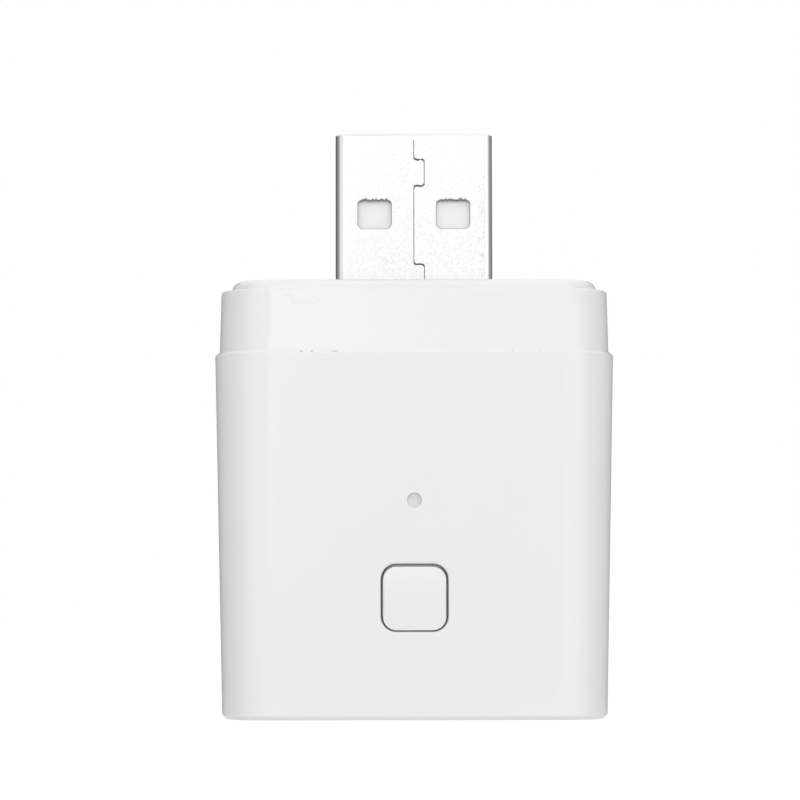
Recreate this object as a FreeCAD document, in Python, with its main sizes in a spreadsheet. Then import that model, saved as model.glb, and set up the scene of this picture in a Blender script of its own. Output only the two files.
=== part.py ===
"""A smart USB adapter: a small moulded case with a plug on top, a socket underneath and one push button.

The adapter stands on its base. X runs across its width, -Y faces the person who presses the button, and Z
runs up through the plug. The origin is at the middle of the base. Lengths are in millimetres and angles in
degrees.
"""

import FreeCAD, Part
import math
import os
import Sketcher

# The driving dimensions: the name of each size, its value, and what it measures.
SIZES = (
    # The moulded case
    ("case_width", 30.05, "width of the lower shell at its rim"),
    ("case_depth", 18.6, "depth of the lower shell at its rim"),
    ("case_corner", 4.6, "radius of the upright corners at the rim"),
    ("shell_height", 27.43, "height of the lower shell"),
    ("shell_draft", 1.2, "draft of the lower shell's walls, which narrow downwards"),
    ("wall", 1.5, "wall of the lower shell"),
    ("floor_thickness", 1.6, "floor of the lower shell"),
    ("foot_edge", 0.28, "bevel on the base's outer edge"),
    ("rim_edge", 0.2, "bevel on the rim's outer edge"),
    ("cap_inset", 0.35, "how far the cap stands in from the rim"),
    ("cap_height", 4.63, "height of the cap's side"),
    ("cap_draft", 1.5, "draft of the cap's side, which narrows upwards"),
    ("cap_edge", 0.1, "bevel on the cap's upper edge"),
    ("plateau_inset", 0.8, "how far the raised top stands in from the cap's edge"),
    ("plateau_height", 0.78, "height of the raised top"),
    ("plateau_edge", 0.72, "rounding of the raised top's edge"),
    ("roof_thickness", 1.5, "roof of the cap, without the raised top"),
    # The joint between cap and shell
    ("skirt_depth", 3.2, "how far the cap's skirt reaches into the shell"),
    ("skirt_thickness", 0.9, "wall of the skirt"),
    ("slip_gap", 0.08, "clearance round the skirt"),
    ("snap_width", 4.0, "width of a snap bump"),
    ("snap_spread", 14.0, "distance between the two bumps on a side"),
    ("snap_drop", 1.9, "depth of the bumps below the rim"),
    ("snap_height", 0.9, "height of a snap bump"),
    ("snap_reach", 0.3, "how far a bump stands out of the skirt"),
    ("snap_gap", 0.12, "clearance round a bump in its recess"),
    # The board and what holds it
    ("board_thickness", 1.6, "thickness of the circuit board"),
    ("board_side_gap", 0.5, "clearance between the board's sides and the skirt"),
    ("board_head_gap", 0.7, "space between the board's top edge and the roof"),
    ("board_grip", 0.8, "how far the guide ribs reach over the board"),
    ("board_slot_gap", 0.08, "clearance between the board's faces and the ribs"),
    ("rib_thickness", 0.9, "thickness of a guide rib"),
    ("rib_stop_gap", 0.5, "space between the guide ribs and the skirt"),
    ("clamp_width", 2.2, "width of a clamp rib under the roof"),
    ("clamp_spread", 19.0, "distance between the two clamp ribs"),
    ("clamp_overlap", 0.9, "how far a clamp rib straddles the board's edge"),
    # The plug
    ("plug_width", 12.0, "width of the plug's metal shell"),
    ("plug_thickness", 4.5, "thickness of the plug's metal shell"),
    ("plug_reach", 11.68, "length of the plug that stands out of the cap"),
    ("plug_length", 18.6, "whole length of the plug's metal shell"),
    ("sheet_metal", 0.3, "sheet that both metal shells are folded from"),
    ("plug_fold", 0.65, "outer radius of the plug shell's folds"),
    ("plug_gap", 0.1, "clearance round the plug in the cap"),
    ("tip_edge", 0.12, "bevel on the plug shell's open end"),
    ("window_width", 2.55, "width of a latch window"),
    ("window_height", 2.25, "height of a latch window"),
    ("window_corner", 0.4, "corner radius of a latch window"),
    ("window_spread", 6.0, "distance between the two latch windows"),
    ("window_setback", 5.03, "distance from the plug's tip to a window"),
    ("seam_gap", 0.06, "gap of the seam where the folded sheet meets"),
    ("seam_step_gap", 0.14, "gap of the seam across its steps"),
    ("seam_corner", 0.2, "corner radius of the seam's steps"),
    ("tab_reach", 0.8, "how far a seam tab reaches across"),
    ("tab_height", 2.03, "height of a seam tab"),
    ("tab_setback", 1.97, "distance from the plug's tip to the first seam tab"),
    ("tab_pitch", 8.08, "distance from one seam tab to the next"),
    ("cavity_depth", 1.95, "open space between the plug's contacts and its shell"),
    ("cavity_length", 9.6, "depth of the plug's open end"),
    ("insert_gap", 0.03, "clearance between plastic and the metal round it"),
    ("insulator_setback", 0.4, "how far the plug's insulator lies behind the tip"),
    ("insulator_lead", 0.35, "bevel on the insulator's leading edge"),
    # The contacts of plug and socket
    ("contact_inner", 2.0, "distance between the two data contacts"),
    ("contact_outer", 7.0, "distance between the two power contacts"),
    ("contact_width", 1.0, "width of a contact"),
    ("contact_thickness", 0.25, "thickness of a contact"),
    ("contact_sink", 0.05, "how far a contact lies under the face round it"),
    ("contact_side_gap", 0.05, "clearance on each side of a contact"),
    ("contact_bend", 0.5, "outer radius of the bend in a contact"),
    ("power_setback", 1.5, "distance from the tip to the power contacts"),
    ("data_setback", 2.5, "distance from the tip to the data contacts"),
    ("tail_width", 0.65, "width of a contact's tail"),
    ("foot_length", 0.9, "length of a tail's foot, soldered flat to the board"),
    ("plug_tail_drop", 0.7, "distance from the plug's rear to its tails"),
    ("leg_width", 1.7, "width of a metal shell's solder leg"),
    ("leg_through", 0.7, "how far a leg stands out of the board"),
    ("leg_gap", 0.12, "clearance round a leg in the board"),
    ("plug_leg_lift", 1.0, "distance from the plug's rear to its legs"),
    # The socket
    ("socket_width", 12.5, "width inside the socket's metal shell"),
    ("socket_height", 5.12, "height inside the socket's metal shell"),
    ("socket_length", 14.0, "length of the socket"),
    ("socket_recess", 0.3, "how far the socket's mouth lies behind the base"),
    ("socket_fold", 0.6, "outer radius of the socket shell's folds"),
    ("aperture_gap", 0.15, "clearance round the socket in the floor"),
    ("aperture_bevel", 0.3, "bevel round the socket's opening in the base"),
    ("tongue_width", 11.1, "width of the socket's tongue"),
    ("tongue_thickness", 1.84, "thickness of the socket's tongue"),
    ("tongue_setback", 0.7, "how far the tongue lies behind the mouth"),
    ("tongue_lead", 0.35, "bevel on the tongue's leading edge"),
    ("block_depth", 4.2, "depth of the insulator's rear block"),
    ("shell_cutback", 3.6, "how much shorter the shell is on the board's side"),
    ("socket_tail_inset", 1.6, "distance from the socket's rear wall to its tails"),
    ("socket_leg_first", 3.4, "distance from the mouth to the first pair of legs"),
    ("socket_leg_pitch", 5.2, "distance between the two pairs of legs"),
    ("contact_bow", 0.45, "how far a socket contact bows out of the tongue"),
    ("bow_start", 1.3, "distance from the tongue's tip to a contact's end"),
    ("bow_length", 2.0, "length of each slope of a contact's bow"),
    ("bow_crest", 0.5, "length of the flat crest of a contact's bow"),
    ("spring_width", 2.0, "width of a spring tab in the socket's shell"),
    ("spring_spread", 6.0, "distance between the two spring tabs on a face"),
    ("spring_slit", 0.35, "width of the slit round a spring tab"),
    ("spring_root", 8.6, "distance from the mouth to a spring tab's root"),
    ("spring_crest", 3.2, "distance from the mouth to a spring tab's crest"),
    ("spring_tip", 2.2, "distance from the mouth to a spring tab's tip"),
    ("spring_dip", 0.4, "how far a spring tab dips into the socket"),
    ("spring_flare", 0.2, "how far a spring tab's tip turns back out"),
    # The push button and the switch behind it
    ("button_height", 9.04, "height of the button's middle above the base"),
    ("opening_size", 5.0, "side of the square opening for the button"),
    ("opening_corner", 1.15, "corner radius of that opening"),
    ("button_gap", 0.16, "gap round the button"),
    ("button_sag", 0.06, "how far the button hangs below the middle of its opening"),
    ("button_proud", 0.1, "how far the button stands out of the shell"),
    ("button_bow", 22.0, "radius of the button's face, slightly bowed from top to bottom"),
    ("button_edge", 0.12, "bevel round the button's face"),
    ("button_skin", 1.1, "thickness of the button's face"),
    ("button_wall", 0.75, "wall of the hollow behind the face"),
    ("flange_overlap", 0.6, "how far the flange reaches behind the shell"),
    ("flange_thickness", 0.7, "thickness of the button's flange"),
    ("flange_gap", 0.05, "clearance between flange and shell"),
    ("stem_diameter", 1.6, "diameter of the stem that presses the switch"),
    ("press_travel", 0.25, "travel of the button"),
    ("switch_side", 5.1, "side of the square switch"),
    ("switch_base_height", 0.95, "height of the switch's plastic base"),
    ("switch_well", 3.7, "diameter of the well in the base"),
    ("switch_well_floor", 0.25, "thickness of the base under the well"),
    ("switch_cover_sheet", 0.15, "sheet of the switch's cover"),
    ("switch_rise", 1.5, "height of the plunger's top above the board"),
    ("plunger_flange", 3.0, "diameter of the plunger's flange"),
    ("plunger_neck", 2.0, "diameter of the plunger's neck"),
    ("plunger_gap", 0.1, "clearance round the neck in the cover"),
    ("dome_diameter", 3.4, "diameter of the snap dome"),
    ("dome_rise", 0.35, "height of the snap dome"),
    ("dome_sheet", 0.08, "sheet of the snap dome"),
    ("terminal_width", 0.7, "width of a switch terminal"),
    ("terminal_reach", 0.7, "how far a switch terminal stands out"),
    ("terminal_spread", 3.7, "distance between the terminals on a side"),
    ("terminal_sheet", 0.2, "sheet of a switch terminal"),
    # The indicator
    ("indicator_height", 16.25, "height of the indicator above the base"),
    ("indicator_hole", 1.06, "diameter of the indicator's hole"),
    ("guide_gap", 0.03, "clearance round the light guide"),
    ("guide_recess", 0.4, "how far the light guide lies behind the face"),
    ("guide_collar", 2.0, "diameter of the light guide's collar"),
    ("guide_collar_height", 0.6, "height of the light guide's collar"),
    ("guide_lamp_gap", 0.2, "space between light guide and lamp"),
    ("boss_wall", 0.7, "wall of the boss that holds the light guide"),
    ("boss_height", 0.9, "height of that boss"),
    ("lamp_width", 1.6, "width of the indicator lamp"),
    ("lamp_depth", 0.8, "depth of the indicator lamp"),
    ("lamp_height", 0.6, "height of the indicator lamp"),
    # The electronics
    ("module_width", 16.0, "width of the radio module"),
    ("module_board", 0.8, "thickness of the radio module's board"),
    ("module_gap", 0.5, "space above and below the radio module"),
    ("shield_margin", 0.6, "edge of the module's board outside its shield"),
    ("shield_height", 1.9, "height of the module's shield"),
    ("shield_sheet", 0.2, "sheet of the module's shield"),
    ("antenna_width", 5.0, "width of the module's antenna end"),
    ("chip_side", 5.0, "side of the radio chip"),
    ("chip_height", 0.85, "height of the radio chip"),
    ("crystal_width", 2.0, "width of the crystal"),
    ("crystal_depth", 2.5, "length of the crystal"),
    ("crystal_height", 0.6, "height of the crystal"),
    ("parts_height", 20.6, "height of the power parts above the base"),
    ("parts_inset", 4.72, "distance from the board's side to the middle of a power chip"),
    ("power_chip_width", 5.0, "width of the power switch chip"),
    ("power_chip_depth", 3.9, "depth of the power switch chip"),
    ("power_chip_height", 1.5, "height of the power switch chip"),
    ("regulator_width", 6.5, "width of the voltage regulator"),
    ("regulator_depth", 3.5, "depth of the voltage regulator"),
    ("regulator_height", 1.6, "height of the voltage regulator"),
    ("lead_pitch", 1.27, "distance between the power chip's leads"),
    ("lead_width", 0.42, "width of a chip's lead"),
    ("lead_reach", 1.0, "how far a chip's lead stands out"),
    ("lead_sheet", 0.2, "sheet of a chip's lead"),
    ("capacitor_width", 3.2, "length of a capacitor"),
    ("capacitor_depth", 1.6, "width of a capacitor"),
    ("capacitor_height", 1.6, "height of a capacitor"),
    ("capacitor_cap", 0.5, "length of a capacitor's metal end"),
    ("capacitor_height_on_board", 14.6, "height of the capacitors above the base"),
    ("capacitor_inset", 3.32, "distance from the board's side to the middle of a capacitor"),
)

PLANES = {"X": ("YZ_Plane", 1), "Y": ("XZ_Plane", -1), "Z": ("XY_Plane", 1)}
TINY = 1e-4
SIDES = (-1, 1)


class Measure:
    """A length or an angle: its number, and the formula that keeps it bound to the sheet."""

    def __init__(self, value, formula):
        self.value = value
        self.formula = formula

    def __add__(self, other):
        other = measure(other)
        return Measure(self.value + other.value, f"({self.formula} + {other.formula})")

    def __sub__(self, other):
        other = measure(other)
        return Measure(self.value - other.value, f"({self.formula} - {other.formula})")

    def __mul__(self, other):
        other = measure(other)
        return Measure(self.value * other.value, f"({self.formula} * {other.formula})")

    def __truediv__(self, other):
        other = measure(other)
        return Measure(self.value / other.value, f"({self.formula} / {other.formula})")

    def __neg__(self):
        return Measure(-self.value, f"(0 - {self.formula})")

    def __radd__(self, other):
        return measure(other) + self

    def __rsub__(self, other):
        return measure(other) - self

    def __rmul__(self, other):
        return measure(other) * self


def measure(number):
    """A plain number as a Measure."""
    if isinstance(number, Measure):
        return number
    return Measure(float(number), f"({float(number)!r})")


def tangent(angle):
    return Measure(math.tan(math.radians(angle.value)), f"tan({angle.formula})")


class Dimensions:
    """The sheet's sizes, each under its own name."""


doc = FreeCAD.newDocument("smart_adapter")
sheet = doc.addObject("Spreadsheet::Sheet", "Sheet")
for row, (alias, value, meaning) in enumerate(SIZES, start=1):
    sheet.set(f"A{row}", meaning)
    sheet.set(f"B{row}", str(value))
    sheet.setAlias(f"B{row}", alias)
doc.recompute()

dim = Dimensions()
for alias, _, _ in SIZES:
    setattr(dim, alias, Measure(float(sheet.get(alias)), f"Sheet.{alias}"))

subparts = []


def bind(thing, name, size):
    """Sets one property of a feature from the sheet."""
    thing.setExpression(name, measure(size).formula)


def new_body(label):
    """An empty body for one sub-part."""
    body = doc.addObject("PartDesign::Body", label)
    body.Label = label
    subparts.append(body)
    return body


def sketch_across(body, name, axis, at, middle=(0, 0)):
    """An empty sketch square to an axis. Its own zero lies at the given place."""
    role, facing = PLANES[axis]
    plane = [part for part in body.Origin.OriginFeatures if part.Role == role][0]
    sketch = body.newObject("Sketcher::SketchObject", name)
    sketch.AttachmentSupport = [(plane, "")]
    sketch.MapMode = "FlatFace"
    bind(sketch, "AttachmentOffset.Base.x", middle[0])
    bind(sketch, "AttachmentOffset.Base.y", middle[1])
    bind(sketch, "AttachmentOffset.Base.z", facing * measure(at))
    return sketch


def direction(start, end):
    """Which way one place lies from another along each of a sketch's two axes: -1, 0 or 1."""
    steps = (end[0].value - start[0].value, end[1].value - start[1].value)
    return [0 if abs(step) < TINY else math.copysign(1, step) for step in steps]


def shifted(point, steps, distance):
    """A point moved by a distance along a sketch's axes."""
    x = point[0] + steps[0] * distance if steps[0] else point[0]
    y = point[1] + steps[1] * distance if steps[1] else point[1]
    return x, y


def vector(point):
    return FreeCAD.Vector(point[0].value, point[1].value, 0)


def corner_arc(start, end, corner, radius):
    """The quarter circle that rounds a square corner, and which of its ends comes first."""
    first, last, sharp = vector(start), vector(end), vector(corner)
    centre = first + last - sharp
    angles = [math.atan2(p.y - centre.y, p.x - centre.x) for p in (first, last)]
    clockwise = (sharp - first).cross(last - sharp).z < 0
    if clockwise:
        angles.reverse()
    circle = Part.Circle(centre, FreeCAD.Vector(0, 0, 1), radius.value)
    return Part.ArcOfCircle(circle, angles[0], angles[1]), (2, 1) if clockwise else (1, 2)


def draw_loop(sketch, corners):
    """Draws a closed outline of straight lines. A corner is (x, y), or (x, y, radius) if it is rounded."""
    points = [(measure(corner[0]), measure(corner[1])) for corner in corners]
    radii = [measure(corner[2]) if len(corner) > 2 else None for corner in corners]
    count = len(points)
    arrive, leave = [], []
    for index, point in enumerate(points):
        if radii[index] is None:
            arrive.append(point)
            leave.append(point)
        else:
            way_in = direction(points[index - 1], point)
            way_out = direction(point, points[(index + 1) % count])
            arrive.append(shifted(point, way_in, -radii[index]))
            leave.append(shifted(point, way_out, radii[index]))
    places, rules = [], []

    def lock(line, end, point):
        for kind, place in zip(("DistanceX", "DistanceY"), point):
            rules.append(Sketcher.Constraint(kind, -1, 1, line, end, place.value))
            places.append((len(rules) - 1, place))

    lines = []
    for index in range(count):
        after = (index + 1) % count
        segment = Part.LineSegment(vector(leave[index]), vector(arrive[after]))
        lines.append(sketch.addGeometry(segment, False))
    for index, line in enumerate(lines):
        after = (index + 1) % count
        lock(line, 1, leave[index])
        if radii[after] is None:
            rules.append(Sketcher.Constraint("Coincident", line, 2, lines[after], 1))
            continue
        lock(line, 2, arrive[after])
        arc, ends = corner_arc(arrive[after], leave[after], points[after], radii[after])
        bend = sketch.addGeometry(arc, False)
        rules.append(Sketcher.Constraint("Coincident", bend, ends[0], line, 2))
        rules.append(Sketcher.Constraint("Coincident", bend, ends[1], lines[after], 1))
        rules.append(Sketcher.Constraint("Radius", bend, radii[after].value))
        places.append((len(rules) - 1, radii[after]))
    first = sketch.ConstraintCount
    sketch.addConstraint(rules)
    for index, place in places:
        sketch.setExpression(f"Constraints[{first + index}]", place.formula)


def draw_circle(sketch, middle, diameter):
    """Draws a circle that is bound to the sheet."""
    middle = (measure(middle[0]), measure(middle[1]))
    radius = measure(diameter) / 2
    up = FreeCAD.Vector(0, 0, 1)
    ring = sketch.addGeometry(Part.Circle(vector(middle), up, radius.value), False)
    rules = (
        (("DistanceX", -1, 1, ring, 3), middle[0]),
        (("DistanceY", -1, 1, ring, 3), middle[1]),
        (("Radius", ring), radius),
    )
    for rule, size in rules:
        index = sketch.addConstraint(Sketcher.Constraint(*rule, size.value))
        sketch.setExpression(f"Constraints[{index}]", size.formula)


def draw(sketch, outlines):
    for outline in outlines:
        if outline[0] == "circle":
            draw_circle(sketch, outline[1], outline[2])
        else:
            draw_loop(sketch, outline)


def span(low_x, high_x, low_y, high_y, radius=None):
    """A rectangle between two pairs of places, with rounded corners if a radius is given."""
    corners = ((low_x, low_y), (high_x, low_y), (high_x, high_y), (low_x, high_y))
    if radius is None:
        return list(corners)
    return [(x, y, radius) for x, y in corners]


def rectangle(x, y, width, height, radius=None):
    """A rectangle round its middle."""
    half_width, half_height = measure(width) / 2, measure(height) / 2
    return span(x - half_width, x + half_width, y - half_height, y + half_height, radius)


def circle(x, y, diameter):
    return ("circle", (x, y), diameter)


def extrude(body, name, axis, outlines, start, end, cut=False, taper=None):
    """Adds the outlines' solid between two places on an axis, or takes it away."""
    start, end = measure(start), measure(end)
    sketch = sketch_across(body, f"{name}_sketch", axis, start)
    draw(sketch, outlines)
    kind = "PartDesign::Pocket" if cut else "PartDesign::Pad"
    feature = body.newObject(kind, name)
    feature.Profile = sketch
    forwards = end.value > start.value
    bind(feature, "Length", end - start if forwards else start - end)
    with_the_plane = forwards == (PLANES[axis][1] > 0)
    feature.Reversed = with_the_plane if cut else not with_the_plane
    if taper is not None:
        bind(feature, "TaperAngle", taper)
    body.Tip = feature
    return feature


def turn(body, name, middle, outlines):
    """Turns outlines, drawn in Y and in distance from the axis, about a line along Y through (x, z)."""
    sketch = sketch_across(body, f"{name}_sketch", "X", middle[0], (0, middle[1]))
    draw(sketch, outlines)
    feature = body.newObject("PartDesign::Revolution", name)
    feature.Profile = sketch
    feature.ReferenceAxis = (sketch, ["H_Axis"])
    feature.Angle = 360
    body.Tip = feature
    return feature


def dress(body, name, kind, base, chosen, size):
    """Rounds or bevels the edges of a feature that a test picks out."""
    doc.recompute()
    names = [f"Edge{i}" for i, edge in enumerate(base.Shape.Edges, start=1) if chosen(edge)]
    if not names:
        raise ValueError(f"{body.Label}: {name} finds no edge")
    feature = body.newObject(f"PartDesign::{kind}", name)
    feature.Base = (base, names)
    bind(feature, "Radius" if kind == "Fillet" else "Size", size)
    body.Tip = feature
    return feature


def in_plane(axis, place, within=None):
    """A test for edges in the plane at a place on an axis, and inside (low, high) along the others."""
    place = measure(place).value

    def chosen(edge):
        box = edge.BoundBox
        low = {"X": box.XMin, "Y": box.YMin, "Z": box.ZMin}
        high = {"X": box.XMax, "Y": box.YMax, "Z": box.ZMax}
        if abs(low[axis] - place) > 1e-3 or abs(high[axis] - place) > 1e-3:
            return False
        for other, (least, most) in (within or {}).items():
            if low[other] < least.value - TINY or high[other] > most.value + TINY:
                return False
        return True

    return chosen


def outside(test, half_width, half_depth):
    """Keeps only the picked edges that reach beyond a rectangle about the Z axis."""

    def chosen(edge):
        box = edge.BoundBox
        across = max(abs(box.XMin), abs(box.XMax)) > half_width.value
        deep = max(abs(box.YMin), abs(box.YMax)) > half_depth.value
        return test(edge) and (across or deep)

    return chosen


# Heights of the case's main levels.
rim = dim.shell_height
cap_top = rim + dim.cap_height
plateau_top = cap_top + dim.plateau_height
roof_underside = cap_top - dim.roof_thickness
floor_top = dim.floor_thickness

# The circuit board stands behind the front wall, with plug and socket on its back face.
board_back = -dim.plug_thickness / 2
board_front = board_back - dim.board_thickness
board_bottom = floor_top
board_top = roof_underside - dim.board_head_gap
interior_width = dim.case_width - 2 * dim.wall
interior_depth = dim.case_depth - 2 * dim.wall
interior_corner = dim.case_corner - dim.wall
skirt_width = interior_width - 2 * dim.slip_gap
skirt_depth_across = interior_depth - 2 * dim.slip_gap
skirt_corner = interior_corner - dim.slip_gap
cap_room_width = skirt_width - 2 * dim.skirt_thickness
cap_room_depth = skirt_depth_across - 2 * dim.skirt_thickness
cap_room_corner = skirt_corner - dim.skirt_thickness
board_width = cap_room_width - 2 * dim.board_side_gap

# The plug's ends, and the levels of its tails and legs.
plug_tip = plateau_top + dim.plug_reach
plug_rear = plug_tip - dim.plug_length
plug_tails = plug_rear - dim.plug_tail_drop
plug_legs = plug_rear + dim.plug_leg_lift
plug_room_half = dim.plug_width / 2 - dim.sheet_metal
plug_room_back = dim.plug_thickness / 2 - dim.sheet_metal
contact_face = plug_room_back - dim.cavity_depth

# The socket lies on the board as the plug does, with its mouth in the floor.
socket_mouth = dim.socket_recess
socket_rear = socket_mouth + dim.socket_length
socket_outer_width = dim.socket_width + 2 * dim.sheet_metal
socket_outer_height = dim.socket_height + 2 * dim.sheet_metal
socket_middle = board_back + socket_outer_height / 2
socket_front = socket_middle - dim.socket_height / 2
socket_back = socket_middle + dim.socket_height / 2
socket_tails = socket_rear - dim.sheet_metal - dim.socket_tail_inset
tongue_middle = socket_middle + contact_face + dim.cavity_depth / 2
tongue_front = tongue_middle - dim.tongue_thickness / 2
tongue_back = tongue_middle + dim.tongue_thickness / 2
tongue_tip = socket_mouth + dim.tongue_setback
block_start = socket_rear - dim.sheet_metal - dim.block_depth

CONTACTS = (
    (1, -dim.contact_outer / 2, dim.power_setback),
    (2, -dim.contact_inner / 2, dim.data_setback),
    (3, dim.contact_inner / 2, dim.data_setback),
    (4, dim.contact_outer / 2, dim.power_setback),
)
SOCKET_LEGS = (
    socket_mouth + dim.socket_leg_first,
    socket_mouth + dim.socket_leg_first + dim.socket_leg_pitch,
)
legs_end = board_front - dim.leg_through


def shell_face(height):
    """Where the lower shell's sloping front face lies at a height."""
    return -(dim.case_depth / 2 - (rim - height) * tangent(dim.shell_draft))


def shell_inside(height):
    """Where the inside of the front wall lies at a height."""
    return shell_face(height) + dim.wall


def make_lower_shell():
    """The deep cup that holds everything, open at the top and drafted like any moulding."""
    body = new_body("lower_shell")
    draft = -dim.shell_draft
    outline = rectangle(0, 0, dim.case_width, dim.case_depth, dim.case_corner)
    outer = extrude(body, "outside", "Z", [outline], rim, 0, taper=draft)
    foot = dress(body, "foot_bevel", "Chamfer", outer, in_plane("Z", 0), dim.foot_edge)
    dress(body, "rim_bevel", "Chamfer", foot, in_plane("Z", rim), dim.rim_edge)
    room = rectangle(0, 0, interior_width, interior_depth, interior_corner)
    extrude(body, "inside", "Z", [room], rim, floor_top, cut=True, taper=draft)
    cut_button_opening(body)
    add_indicator_boss(body)
    add_board_guides(body)
    cut_snap_recesses(body)
    cut_socket_opening(body)


def cut_button_opening(body):
    """The square opening with round corners that the button moves in."""
    size = dim.opening_size
    opening = rectangle(0, dim.button_height, size, size, dim.opening_corner)
    front, back = -dim.case_depth / 2, shell_inside(dim.button_height - size)
    extrude(body, "button_opening", "Y", [opening], front, back, cut=True)


def add_indicator_boss(body):
    """The hole for the indicator, and the boss behind it that the light guide is pushed into."""
    height = dim.indicator_height
    boss = circle(0, height, dim.indicator_hole + 2 * dim.boss_wall)
    inside = shell_inside(height)
    root = inside - dim.wall / 2
    extrude(body, "indicator_boss", "Y", [boss], root, inside + dim.boss_height)
    hole = circle(0, height, dim.indicator_hole)
    front, back = -dim.case_depth / 2, inside + dim.boss_height
    extrude(body, "indicator_hole", "Y", [hole], front, back, cut=True)


def add_board_guides(body):
    """Two pairs of upright ribs whose slots hold the board's long edges."""
    tip = board_width / 2 - dim.board_grip
    root = interior_width / 2
    front = board_front - dim.board_slot_gap
    back = board_back + dim.board_slot_gap
    ribs = []
    for side in SIDES:
        for low, high in ((front - dim.rib_thickness, front), (back, back + dim.rib_thickness)):
            ends = (side * tip, side * root)
            low_x, high_x = ends if side > 0 else reversed(ends)
            ribs.append(span(low_x, high_x, low, high))
    top = rim - dim.skirt_depth - dim.rib_stop_gap
    extrude(body, "board_guides", "Z", ribs, floor_top - dim.floor_thickness / 2, top)


def cut_snap_recesses(body):
    """Four shallow recesses that the cap's bumps click into."""
    width = dim.snap_width + 2 * dim.snap_gap
    height = dim.snap_height + 2 * dim.snap_gap
    level = rim - dim.snap_drop
    recesses = [
        rectangle(side * dim.snap_spread / 2, level, width, height) for side in SIDES
    ]
    depth = skirt_depth_across / 2 + dim.snap_reach + dim.snap_gap
    extrude(body, "front_recesses", "Y", recesses, 0, -depth, cut=True)
    extrude(body, "back_recesses", "Y", recesses, 0, depth, cut=True)


def cut_socket_opening(body):
    """The opening in the floor that the socket's mouth shows in, bevelled to lead a plug in."""
    width = socket_outer_width + 2 * dim.aperture_gap
    height = socket_outer_height + 2 * dim.aperture_gap
    radius = dim.socket_fold + dim.aperture_gap
    opening = rectangle(0, socket_middle, width, height, radius)
    hole = extrude(body, "socket_opening", "Z", [opening], 0, floor_top, cut=True)
    edges = in_plane(
        "Z",
        0,
        {"X": (-width / 2, width / 2), "Y": (socket_middle - height / 2, socket_middle + height / 2)},
    )
    dress(body, "socket_bevel", "Chamfer", hole, edges, dim.aperture_bevel)


def make_top_cap():
    """The cap, with its raised top, the plug's opening, the skirt and the ribs that clamp the board."""
    body = new_body("top_cap")
    skirt = rectangle(0, 0, skirt_width, skirt_depth_across, skirt_corner)
    skirt_end = rim - dim.skirt_depth
    extrude(body, "skirt", "Z", [skirt], rim, skirt_end, taper=-dim.shell_draft)
    width = dim.case_width - 2 * dim.cap_inset
    depth = dim.case_depth - 2 * dim.cap_inset
    corner = dim.case_corner - dim.cap_inset
    foot = rectangle(0, 0, width, depth, corner)
    side = extrude(body, "side", "Z", [foot], rim, cap_top, taper=-dim.cap_draft)
    dress(body, "side_bevel", "Chamfer", side, in_plane("Z", cap_top), dim.cap_edge)
    step = dim.cap_height * tangent(dim.cap_draft) + dim.plateau_inset
    raised = rectangle(0, 0, width - 2 * step, depth - 2 * step, corner - step)
    plateau = extrude(body, "raised_top", "Z", [raised], cap_top, plateau_top)
    edges = in_plane("Z", plateau_top)
    dress(body, "raised_top_rounding", "Fillet", plateau, edges, dim.plateau_edge)
    add_snap_bumps(body)
    room = rectangle(0, 0, cap_room_width, cap_room_depth, cap_room_corner)
    extrude(body, "inside", "Z", [room], skirt_end, roof_underside, cut=True)
    add_board_clamps(body)
    gap = 2 * dim.plug_gap
    opening = rectangle(
        0, 0, dim.plug_width + gap, dim.plug_thickness + gap, dim.plug_fold + dim.plug_gap
    )
    extrude(body, "plug_opening", "Z", [opening], roof_underside, plateau_top, cut=True)


def add_snap_bumps(body):
    """Wedge-shaped bumps on the skirt's long sides, sloped below so that the cap can be pushed in."""
    level = rim - dim.snap_drop
    root = skirt_depth_across / 2 - dim.skirt_thickness / 2
    crest = skirt_depth_across / 2 + dim.snap_reach
    face = skirt_depth_across / 2 - dim.snap_reach / 2
    top = level + dim.snap_height / 2
    bottom = level - dim.snap_height / 2
    for facing, name in ((-1, "front"), (1, "back")):
        profile = [
            (facing * root, bottom),
            (facing * face, bottom),
            (facing * crest, top - dim.snap_height / 3),
            (facing * crest, top),
            (facing * root, top),
        ]
        for side in SIDES:
            middle = side * dim.snap_spread / 2
            start, end = middle - dim.snap_width / 2, middle + dim.snap_width / 2
            label = f"{name}_bump_{'left' if side < 0 else 'right'}"
            extrude(body, label, "X", [profile], start, end)


def add_board_clamps(body):
    """Two forked ribs under the roof that straddle the board's top edge and hold it down."""
    front = board_front - dim.board_slot_gap
    back = board_back + dim.board_slot_gap
    fork = dim.rib_thickness
    low = board_top - dim.clamp_overlap
    high = roof_underside + dim.roof_thickness / 2
    profile = [
        (front - fork, low),
        (front, low),
        (front, board_top),
        (back, board_top),
        (back, low),
        (back + fork, low),
        (back + fork, high),
        (front - fork, high),
    ]
    for side in SIDES:
        middle = side * dim.clamp_spread / 2
        start, end = middle - dim.clamp_width / 2, middle + dim.clamp_width / 2
        extrude(body, f"clamp_{'left' if side < 0 else 'right'}", "X", [profile], start, end)


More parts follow.
